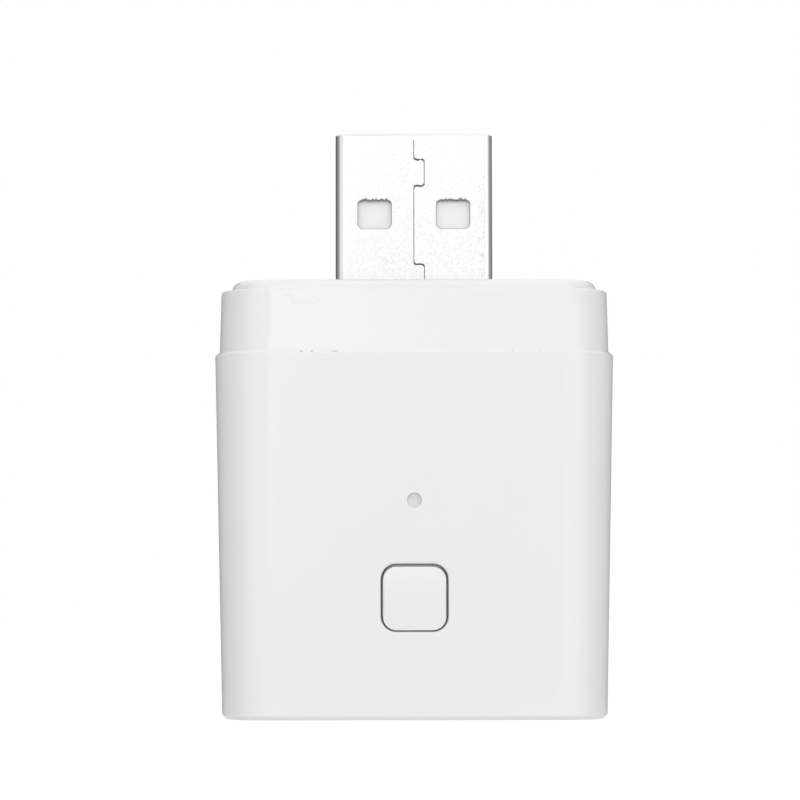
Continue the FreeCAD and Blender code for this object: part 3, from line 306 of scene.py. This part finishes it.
def circuit_board(name):
    """Green solder mask with copper tracks under it."""
    finish = Finish(name)
    x, _, z = finish.axes()
    tracks = ((x / (0.9 * MM)).maths("FRACT", x / (0.9 * MM)) - 0.5).size().ramp(0.16, 0.22)
    cloud = finish.noise(3.0 * MM)
    hidden = (cloud - 0.45).ramp(0.0, 0.05)
    share = (1 - tracks) * hidden
    colour = finish.blend(share, (0.012, 0.09, 0.035, 1.0), (0.03, 0.17, 0.06, 1.0))
    return finish.shade(
        Base_Color=colour,
        Roughness=0.32 + share * 0.05,
        Normal=finish.bump(share, 0.02 * MM, 0.6),
    )


def clear_plastic(name):
    """The milky plastic of the light guide."""
    finish = Finish(name)
    cloud = finish.noise(0.25 * MM)
    return finish.shade(
        Base_Color=finish.blend(cloud, grey(0.86), grey(0.92)),
        Roughness=0.25 + cloud * 0.1,
        Coat_Weight=0.3,
        Normal=finish.bump(cloud, 0.02 * MM, 0.3),
    )


def joined_copy(node):
    """A node's solid as one joined mesh, each corner of which remembers the way its surface faces."""
    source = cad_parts[node].data
    made = bmesh.new()
    made.from_mesh(source)
    facing = made.loops.layers.float_vector.new("facing")
    kept = made.faces.layers.int.new("kept")
    normals = source.corner_normals
    for face, polygon in zip(made.faces, source.polygons):
        for loop, index in zip(face.loops, polygon.loop_indices):
            loop[facing] = normals[index].vector
        flat = all(loop[facing].dot(face.normal) > FLAT_SHARE for loop in face.loops)
        face[kept] = PLANE if flat else CURVE
    bmesh.ops.remove_doubles(made, verts=made.verts, dist=WELD)
    bmesh.ops.dissolve_limit(made, angle_limit=FLAT, verts=made.verts, edges=made.edges)
    return made


def mark_new(made, faces):
    """Notes that faces aren't the solid's own, so that their direction comes from their shape."""
    kept = made.faces.layers.int["kept"]
    for face in faces:
        face[kept] = NEW


def bend_of(edge):
    return abs(edge.calc_face_angle(0.0))


def edges_of(made, chosen):
    """The edges between two faces that a test picks out."""
    return [edge for edge in made.edges if len(edge.link_faces) == 2 and chosen(edge)]


def round_edges(made, edges, size, segments=3):
    """Rounds edges, and gives back the faces of the rounding."""
    result = bmesh.ops.bevel(
        made,
        geom=edges,
        offset=size,
        offset_type="OFFSET",
        affect="EDGES",
        segments=segments,
        profile=0.5,
        material=-1,
        clamp_overlap=True,
        loop_slide=True,
    )
    mark_new(made, result["faces"])
    return result["faces"]


def within(low, high, least_bend=math.radians(20)):
    """A test for bent edges that lie inside a box."""

    def chosen(edge):
        inside = all(low[k] <= vert.co[k] <= high[k] for vert in edge.verts for k in range(3))
        return inside and bend_of(edge) > least_bend

    return chosen


def level_edges(height, half_width, half_depth):
    """A test for edges at a height that reach outside a rectangle about the Z axis."""

    def chosen(edge):
        at_height = all(abs(vert.co.z - height) < 0.01 * MM for vert in edge.verts)
        across = max(abs(vert.co.x) for vert in edge.verts) > half_width
        deep = max(abs(vert.co.y) for vert in edge.verts) > half_depth
        return at_height and (across or deep) and bend_of(edge) > math.radians(20)

    return chosen


def corner_directions(made):
    """Which way each corner of each face looks: as on the solid, or smoothly across new faces."""
    facing = made.loops.layers.float_vector["facing"]
    kept = made.faces.layers.int["kept"]
    made.normal_update()

    def own(loop):
        return loop.face.normal if loop.face[kept] == PLANE else loop[facing]

    directions = []
    for face in made.faces:
        for loop in face.loops:
            around = loop.vert.link_loops
            sure = [own(other) for other in around if other.face[kept] != NEW]
            if face[kept] != NEW:
                sure = [own(loop)]
            soft = [other.face.normal for other in around]
            directions.append(sum(sure or soft, Vector()).normalized())
    return directions


def finish_piece(made, name, material, body, node):
    """Turns the mesh into a piece that stands for a node."""
    directions = corner_directions(made)
    made.loops.layers.float_vector.remove(made.loops.layers.float_vector["facing"])
    made.faces.layers.int.remove(made.faces.layers.int["kept"])
    mesh = bpy.data.meshes.new(name)
    made.to_mesh(mesh)
    made.free()
    mesh.shade_smooth()
    mesh.normals_split_custom_set(directions)
    mesh.materials.clear()
    mesh.materials.append(material)
    piece = bpy.data.objects.new(name, mesh)
    bpy.context.scene.collection.objects.link(piece)
    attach(piece, body)
    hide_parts(node)
    return piece


def make_shell(material):
    """The lower shell, with its foot, rim, button opening and indicator hole rounded."""
    made = joined_copy("lower_shell")
    low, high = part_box("lower_shell")
    outer = high.x - 1.5 * MM
    deep = high.y - 1.0 * MM
    for height, size in ((0.0, 0.12 * MM), (FOOT_BEVEL, 0.12 * MM), (high.z, 0.05 * MM), (high.z - RIM_BEVEL, 0.05 * MM)):
        round_edges(made, edges_of(made, level_edges(height, outer, deep)), size)
    opening = edges_of(made, around_front(BUTTON_MIDDLE, OPENING_HALF, low.y))
    round_edges(made, opening, 0.2 * MM, 4)
    hole = edges_of(made, around_front(INDICATOR_MIDDLE, INDICATOR_HALF, low.y))
    round_edges(made, hole, 0.06 * MM, 3)
    return finish_piece(made, "shell", material, "casing", "lower_shell")


def around_front(middle, half, front):
    """A test for the outer edges of an opening in the front wall."""
    reach = half + 0.02 * MM
    return within((-reach, front, middle - reach), (reach, front + 0.5 * MM, middle + reach), math.radians(60))


def make_cap(material):
    """The cap, with a rounded shoulder and a soft hollow at the foot of its raised top."""
    made = joined_copy("top_cap")
    low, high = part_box("top_cap")
    outer = high.x - 2.0 * MM
    deep = high.y - 1.5 * MM
    top = high.z - PLATEAU_HEIGHT
    for height in (top - CAP_BEVEL, top):
        chosen = level_edges(height, outer, deep)
        ring = [edge for edge in edges_of(made, chosen) if is_outside(edge, CAP_SHOULDER_INSET)]
        round_edges(made, ring, 0.035 * MM)
    foot = [edge for edge in edges_of(made, level_edges(top, outer - MM, deep - MM)) if not is_outside(edge, CAP_SHOULDER_INSET)]
    round_edges(made, foot, 0.12 * MM)
    return finish_piece(made, "cap", material, "casing", "top_cap")


def is_outside(edge, inset):
    """Whether an edge lies in the outermost strip of the cap."""
    low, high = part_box("top_cap")
    middle = (edge.verts[0].co + edge.verts[1].co) / 2
    reach_x = high.x - CORNER_RADIUS
    reach_y = high.y - CORNER_RADIUS
    over = Vector((max(abs(middle.x) - reach_x, 0), max(abs(middle.y) - reach_y, 0)))
    return over.length > CORNER_RADIUS - inset


def make_plug(material):
    """The folded plug shell, ragged where its windows and the steps of its seam were punched. These edges are dark:
    partly bare steel, and partly painted shade under the windows' tops and in the seam's steps.
    """
    made = joined_copy("plug_shell")
    bare_and_shaded = made.faces.layers.float.new("bare_and_shaded")
    random.seed(5)
    for edge in edges_of(made, is_torn_edge):
        length = (edge.verts[0].co - edge.verts[1].co).length
        bmesh.ops.subdivide_edges(made, edges=[edge], cuts=max(3, int(length / TEAR_LENGTH)))
    windows = round_edges(made, edges_of(made, is_window_edge), 0.05 * MM, 2)
    steps = round_edges(made, edges_of(made, is_step_edge), 0.15 * MM, 3)
    for face in made.faces:
        face[bare_and_shaded] = bare_and_shaded_of(face)
    # Window edges are dark as bare steel, and get darker towards the windows' tops as painted shadow.
    for face in windows:
        face[bare_and_shaded] = 0.6 + 0.4 * share_between(face.calc_center_median().z, WINDOW_HIGH - 0.45 * MM, WINDOW_HIGH - 0.2 * MM)
    # The seam's steps are fully dark, partly as bare steel and partly as painted shade in the seam's gap.
    for face in steps:
        face[bare_and_shaded] = 1.0
    tears = {}
    for vert in corners_of(windows):
        straight = abs(abs(vert.co.x) - WINDOW_MIDDLE) < 0.95 * MM
        place = round(vert.co.x / (0.02 * MM))
        tear = tears.setdefault(place, random.uniform(-0.05, 0.12) * MM) if straight else 0.0
        reach = share_between(vert.co.z, WINDOW_HIGH - 0.5 * MM, WINDOW_HIGH)
        if on_skin(vert):
            vert.co.z += reach * (tear - 0.05 * MM)
        else:
            vert.co.z += reach * (tear * 0.5 - 0.16 * MM)
    for vert in corners_of(steps):
        if abs(vert.co.x - STEP_MIDDLE) < 0.22 * MM:
            vert.co.z += random.uniform(-0.05, 0.05) * MM
    return finish_piece(made, "plug", material, "casing", "plug_shell")


def corners_of(faces):
    """The points of some faces, each once, in an order that is the same in every run."""
    points = {tuple(vert.co): vert for face in faces for vert in face.verts}
    return [points[place] for place in sorted(points)]


def share_between(value, low, high):
    """How far a value lies between two others, from 0 to 1."""
    return min(max((value - low) / (high - low), 0.0), 1.0)


def on_skin(vert):
    return abs(abs(vert.co.y) + PLUG_FRONT) < 0.002 * MM


def is_skin_edge(edge):
    return on_skin(edge.verts[0]) and on_skin(edge.verts[1]) and bend_of(edge) > math.radians(60)


def is_near_step(edge):
    middle = (edge.verts[0].co + edge.verts[1].co) / 2
    return abs(middle.x - STEP_MIDDLE) < 0.45 * MM and any(abs(middle.z - level) < 0.25 * MM for level in STEP_LEVELS)


def is_window_edge(edge):
    middle = (edge.verts[0].co + edge.verts[1].co) / 2
    inside = abs(abs(middle.x) - WINDOW_MIDDLE) < 1.4 * MM
    return inside and WINDOW_LOW - 0.1 * MM < middle.z < WINDOW_HIGH + 0.1 * MM and is_skin_edge(edge)


def is_step_edge(edge):
    return is_skin_edge(edge) and is_near_step(edge)


def is_torn_edge(edge):
    """The long level edges at the windows' tops and the seam's steps."""
    first, second = (vert.co for vert in edge.verts)
    level = abs(first.z - second.z) < 0.001 * MM and abs(first.x - second.x) > 0.3 * MM
    top = is_window_edge(edge) and first.z > WINDOW_HIGH - 0.2 * MM
    return level and (top or is_step_edge(edge))


def bare_and_shaded_of(face):
    """How dark a face of the solid is made, partly as bare steel and partly as painted shade: the steps' walls, the
    seam's walls, and the edge of the tip.
    """
    middle = face.calc_center_median()
    if middle.z > PLUG_TIP - 0.13 * MM and face.normal.z > 0.3:
        return 0.07
    wall = abs(face.normal.y) < 0.5 and middle.y < PLUG_FRONT + SHEET + 0.02 * MM
    if wall and abs(middle.x - STEP_MIDDLE) < 0.5 * MM:
        return 0.95 if abs(face.normal.z) > 0.5 else 0.3
    return 0.0


def make_button(material):
    """The button: a soft-edged face, and a narrow ledge along the top of its body."""
    made = joined_copy("button_cap")
    low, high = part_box("button_cap")
    for depth in (LEDGE_DEPTH, LEDGE_DEPTH + 0.02 * MM):
        bmesh.ops.bisect_plane(
            made,
            geom=made.verts[:] + made.edges[:] + made.faces[:],
            dist=WELD,
            plane_co=(0, low.y + depth, 0),
            plane_no=(0, 1, 0),
        )
    for vert in made.verts:
        x, y, z = vert.co
        outside = max(abs(x), abs(z - BUTTON_MIDDLE)) < BUTTON_HALF + 0.1 * MM and is_wall(vert)
        if outside and y > low.y + LEDGE_DEPTH + 0.01 * MM and z > BUTTON_MIDDLE + 1 * MM:
            vert.co.z += LEDGE_LIFT
    kept = made.faces.layers.int["kept"]
    for face in made.faces:
        if LEDGE_DEPTH < face.calc_center_median().y - low.y < LEDGE_DEPTH + 0.02 * MM:
            face[kept] = PLANE
    face_rim = [
        edge
        for edge in edges_of(made, lambda edge: bend_of(edge) > math.radians(20))
        if max(vert.co.y for vert in edge.verts) < low.y + 0.3 * MM
    ]
    round_edges(made, face_rim, 0.045 * MM, 3)
    return finish_piece(made, "button", material, "button", "button_cap")


def is_wall(vert):
    """Whether a point lies on the button's outer side walls."""
    return any(abs(face.normal.y) < 0.1 for face in vert.link_faces)


def make_light_guide(material):
    """The light guide, whose end is a shallow dish just behind the case's face."""
    made = joined_copy("light_guide")
    low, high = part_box("light_guide")
    end = [face for face in made.faces if face.normal.y < -0.9 and face.calc_center_median().y < low.y + 0.1 * MM]
    grown = bmesh.ops.extrude_face_region(made, geom=end)
    points = [item for item in grown["geom"] if isinstance(item, bmesh.types.BMVert)]
    dish = [item for item in grown["geom"] if isinstance(item, bmesh.types.BMFace)]
    bmesh.ops.delete(made, geom=end, context="FACES_ONLY")
    radius = max(abs(vert.co.x) for vert in points)
    widening = INDICATOR_HALF / radius
    middle = Matrix.Translation((0, 0, -INDICATOR_MIDDLE))
    bmesh.ops.scale(made, verts=points, vec=(widening, 1, widening), space=middle)
    bmesh.ops.translate(made, verts=points, vec=(0, -DISH_FORWARD, 0))
    for ring in range(DISH_RINGS):
        inset = bmesh.ops.inset_region(made, faces=dish, thickness=radius / (DISH_RINGS + 1), use_even_offset=True)
        mark_new(made, inset["faces"])
        slope = 2 * DISH_DEPTH * (1 - (ring + 0.5) / DISH_RINGS) / DISH_RINGS
        bmesh.ops.translate(made, verts=list({vert for face in dish for vert in face.verts}), vec=(0, slope, 0))
    mark_new(made, dish)
    return finish_piece(made, "guide", material, "casing", "light_guide")


def dress(names, material):
    """Gives nodes that keep their own shape a finish."""
    for name in names:
        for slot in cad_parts[name].material_slots:
            slot.material = material


def add_lamp(name, azimuth, elevation, distance, size, power):
    """A soft box that faces the object. Azimuth 0 is in front of it and 90 to its right."""
    light = bpy.data.lights.new(name, "AREA")
    light.shape = "SQUARE"
    light.size = size
    light.energy = power
    lamp = bpy.data.objects.new(name, light)
    bpy.context.scene.collection.objects.link(lamp)
    turn, lift = math.radians(azimuth), math.radians(elevation)
    way = Vector((math.sin(turn) * math.cos(lift), -math.cos(turn) * math.cos(lift), math.sin(lift)))
    aim = Vector((0, 0, 20 * MM))
    lamp.location = aim + way * distance
    lamp.rotation_euler = way.to_track_quat("Z", "Y").to_euler()
    lamp.visible_camera = False
    return lamp


def seen_directly(finish):
    """1 for rays that show a thing, and 0 for rays that only carry its light."""
    paths = finish.node("LightPath").socket.node.outputs
    camera, glossy, through = (Value(finish, paths[f"Is {kind} Ray"]) for kind in ("Camera", "Glossy", "Transmission"))
    return camera.most(glossy).most(through)


def add_floor():
    """A pale floor that looks white and keeps the object's soft shadow."""
    made = bmesh.new()
    bmesh.ops.create_grid(made, x_segments=1, y_segments=1, size=1.5)
    bmesh.ops.translate(made, verts=made.verts, vec=(0, 0, -FLOOR_DROP))
    finish = Finish("floor_white")
    matte = finish.node("BsdfDiffuse", sockets={"Color": grey(0.8)})
    seen = seen_directly(finish)
    glow = FLOOR_GLOW + seen * (1.1 - FLOOR_GLOW)
    white = finish.node("Emission", sockets={"Color": grey(1.0), "Strength": glow})
    finish.end(finish.node("MixShader", sockets={0: 0.5 + seen * 0.36, 1: matte, 2: white}))
    add_staged(made, "floor", finish.owner)


def add_staged(made, name, material):
    """A part of the studio, not of the object."""
    mesh = bpy.data.meshes.new(name)
    made.to_mesh(mesh)
    made.free()
    mesh.materials.append(material)
    staged = bpy.data.objects.new(name, mesh)
    bpy.context.scene.collection.objects.link(staged)
    return staged


def add_world():
    """Soft light from all round, weaker from above, on a white background."""
    world = bpy.data.worlds.new("studio")
    bpy.context.scene.world = world
    finish = Finish("studio", world)
    split = finish.node("SeparateXYZ", sockets={"Vector": finish.node("TexCoord", output="Generated")})
    up = Value(finish, split.socket.node.outputs["Z"]).ramp(0.15, 0.85)
    light = WORLD_LEVEL + up * (ABOVE_LEVEL - WORLD_LEVEL)
    strength = light + seen_directly(finish) * (1 - light)
    finish.end(finish.node("Background", sockets={"Color": grey(1.0), "Strength": strength}))


def add_flags():
    """Dark cards at both sides, out of sight, which keep light off the sides of the white plastic."""
    finish = Finish("flag_black")
    finish.end(finish.node("BsdfDiffuse", sockets={"Color": grey(0.02)}))
    for side in (-1, 1):
        made = bmesh.new()
        bmesh.ops.create_grid(made, x_segments=1, y_segments=1, size=0.5)
        bmesh.ops.scale(made, verts=made.verts, vec=(FLAG_DEPTH, FLAG_HEIGHT, 1))
        bmesh.ops.rotate(made, verts=made.verts, matrix=Matrix.Rotation(math.radians(90), 3, "X"))
        bmesh.ops.rotate(made, verts=made.verts, matrix=Matrix.Rotation(math.radians(90), 3, "Z"))
        bmesh.ops.translate(made, verts=made.verts, vec=(side * 0.35, 0.12, FLAG_HEIGHT / 2))
        flag = add_staged(made, "flag_left" if side < 0 else "flag_right", finish.owner)
        flag.visible_camera = False
        flag.visible_glossy = False


def add_card(name, material, start, end, profile):
    """A curved card round the object, seen only in reflections. Turns are in degrees, to the right of the front."""
    made = bmesh.new()
    points = [made.verts.new((0, -distance, height)) for distance, height in profile]
    edges = [made.edges.new(pair) for pair in zip(points, points[1:])]
    bmesh.ops.rotate(made, verts=points, matrix=Matrix.Rotation(math.radians(start), 3, "Z"))
    bmesh.ops.spin(
        made, geom=points + edges, axis=(0, 0, 1), angle=math.radians(end - start), steps=24, use_duplicate=False
    )
    only_in_reflections(add_staged(made, name, material))


def add_screens():
    """Grey screens at both sides, which draw the edges of bright metal."""
    finish = Finish("screen_grey")
    x, y, _ = finish.axes()
    turned = x.size().maths("ARCTAN2", x.size(), 0 - y) * (180 / math.pi)
    level = 1.4 - turned.ramp(48, 78) - turned.ramp(90, 130) * 0.25
    strength = level * (1.04 + x.above(0) * 0.25)
    finish.end(finish.node("Emission", sockets={"Color": grey(1.0), "Strength": strength}))
    profile = ((SCREEN_NEAR, 0.0), (CARD_DISTANCE, 0.0), (CARD_DISTANCE, SCREEN_HEIGHT))
    for side in (-1, 1):
        name = "screen_left" if side < 0 else "screen_right"
        add_card(name, finish.owner, side * SCREEN_START, side * SCREEN_END, profile)


def add_highlights():
    """Bright strips near the front, whose edges show in the shine of the plastic."""
    for name, level, start, end, foot, head in HIGHLIGHTS:
        finish = Finish(name)
        finish.end(finish.node("Emission", sockets={"Color": grey(1.0), "Strength": level}))
        add_card(name, finish.owner, start, end, ((CARD_DISTANCE, foot * MM), (CARD_DISTANCE, head * MM)))


def add_lid():
    """A bright round card overhead, seen only in reflections, which lights the edge of the plug's mouth."""
    finish = Finish("lid_white")
    finish.end(finish.node("Emission", sockets={"Color": grey(1.0), "Strength": LID_LEVEL}))
    made = bmesh.new()
    bmesh.ops.create_circle(made, cap_ends=True, segments=48, radius=LID_RADIUS)
    bmesh.ops.translate(made, verts=made.verts, vec=(0, 0, LID_HEIGHT))
    only_in_reflections(add_staged(made, "lid", finish.owner))


def only_in_reflections(card):
    for kind in ("camera", "diffuse", "transmission", "volume_scatter", "shadow"):
        setattr(card, "visible_" + kind, False)


def add_camera():
    """The photograph's viewpoint."""
    data = bpy.data.cameras.new("camera")
    data.sensor_fit = "HORIZONTAL"
    data.sensor_width = 36.0
    data.lens = FOCAL_PIXELS * data.sensor_width / PICTURE_PIXELS
    data.clip_start = 10 * MM
    camera = bpy.data.objects.new("camera", data)
    bpy.context.scene.collection.objects.link(camera)
    camera.location = Vector((0, -251.6, 8.54)) * MM
    pitch, roll, yaw = 3.57, 0.1, 0.255
    camera.rotation_euler = (math.radians(90 + pitch), math.radians(roll), math.radians(yaw))
    bpy.context.scene.camera = camera


# Sizes of the solids that the pieces follow.
FOOT_BEVEL = 0.28 * MM
RIM_BEVEL = 0.2 * MM
CAP_BEVEL = 0.1 * MM
CAP_SHOULDER_INSET = 0.45 * MM
CORNER_RADIUS = 4.25 * MM
PLATEAU_HEIGHT = 0.78 * MM
BUTTON_MIDDLE = 9.04 * MM
OPENING_HALF = 2.5 * MM
BUTTON_HALF = 2.34 * MM
INDICATOR_MIDDLE = 16.25 * MM
INDICATOR_HALF = 0.53 * MM
PLUG_FRONT = -2.25 * MM
PLUG_FOOT = 32.84 * MM
PLUG_STANDS = 11.68 * MM
PLUG_TIP = PLUG_FOOT + PLUG_STANDS
SHEET = 0.3 * MM
WINDOW_MIDDLE = 3.0 * MM
WINDOW_HIGH = PLUG_TIP - 5.03 * MM
WINDOW_LOW = PLUG_TIP - 7.28 * MM
STEP_MIDDLE = 0.4 * MM
STEP_LEVELS = (PLUG_TIP - 1.97 * MM, PLUG_TIP - 4.0 * MM, PLUG_TIP - 10.05 * MM)

# Detail that only the looks have.
LEDGE_DEPTH = 1.0 * MM
LEDGE_LIFT = 0.19 * MM
DISH_FORWARD = 0.1 * MM
DISH_DEPTH = 0.34 * MM
DISH_RINGS = 8
TEAR_LENGTH = 0.11 * MM
PIT_SLANT = math.radians(50)
PIT_SIZE = 0.065 * MM
SCRATCH_WIDTH = 0.045 * MM
SCRATCHES = (
    (-9.76 * MM, 31.55 * MM, -9.08 * MM, 31.48 * MM),
    (-9.04 * MM, 31.48 * MM, -9.04 * MM, 31.0 * MM),
    (-9.04 * MM, 30.98 * MM, -6.97 * MM, 30.98 * MM),
    (-7.87 * MM, 31.78 * MM, -6.74 * MM, 30.95 * MM),
    (-10.9 * MM, 30.87 * MM, -10.4 * MM, 30.82 * MM),
)
RIM_FLECK_LEVEL = 27.3 * MM
RIM_FLECKS = (
    (-8.36 * MM, 0.1 * MM),
    (-7.58 * MM, 0.06 * MM),
    (-5.91 * MM, 0.17 * MM),
    (7.29 * MM, 0.01 * MM),
    (9.36 * MM, 0.01 * MM),
)

# Cards in degrees to the right of the front; their levels are brightnesses and their heights millimetres.
CARD_DISTANCE = 0.34
SCREEN_HEIGHT = 0.22
SCREEN_NEAR = 15.5 * MM
SCREEN_START = 24
SCREEN_END = 168
LID_LEVEL = 1.55
LID_RADIUS = 0.25
LID_HEIGHT = 0.3
HIGHLIGHTS = (
    ("strip_left_low", 1.9, -3.9, -16, 0, 48),
    ("strip_left_high", 2.7, -1.65, -14.5, 46, 200),
    ("strip_high", 1.5, 26, -1.65, 46, 200),
    ("strip_right_low", 1.5, 5.2, 10, 0, 48),
)

case_white = moulded_plastic("case_white", 0.86, 0.13, 0.0)
make_shell(case_white)
make_cap(case_white)
make_button(moulded_plastic("button_white", 0.86, 0.11, 0.4))
make_plug(rolled_nickel("plug_nickel", 0.62, 0.26))

dress(["socket_shell"], sheet_metal("socket_nickel", grey(0.75), 0.3))
dress(["plug_insulator", "socket_insulator"], plain_plastic("insulator_white", grey(0.87), 0.5, 0.02, 0.001 * MM))
contacts = [f"{kind}_contact_{number}" for kind in ("plug", "socket") for number in (1, 2, 3, 4)]
dress(contacts, sheet_metal("contact_gold", (0.95, 0.66, 0.28, 1.0), 0.22))
dress(["main_board", "module_board"], circuit_board("board_green"))
dress(["module_shield", "crystal"], sheet_metal("shield_tin", grey(0.7), 0.35))
dress(
    ["radio_chip", "power_switch_chip", "voltage_regulator"],
    plain_plastic("chip_black", grey(0.02), 0.55),
)
dress(["input_capacitor", "output_capacitor"], plain_plastic("capacitor_tan", (0.42, 0.27, 0.14, 1.0), 0.5))
make_light_guide(clear_plastic("guide_clear"))
dress(["indicator_lamp"], plain_plastic("lamp_white", grey(0.8), 0.4))
dress(["switch_base", "switch_plunger"], plain_plastic("switch_black", grey(0.03), 0.5))
dress(["switch_cover", "switch_dome", "switch_terminals"], sheet_metal("switch_steel", grey(0.62), 0.3))

add_world()
add_floor()
add_lamp("box_left", -40, 24, 0.6, 0.6, LEFT_POWER)
add_lamp("box_right", 40, 24, 0.6, 0.6, RIGHT_POWER)
add_lamp("box_above", 0, 72, 0.6, 0.5, TOP_POWER)
add_lamp("box_behind", 180, 50, 0.6, 0.5, BACK_POWER)
add_flags()
add_screens()
add_highlights()
add_lid()
add_camera()
bpy.context.scene.view_settings.view_transform = "Standard"
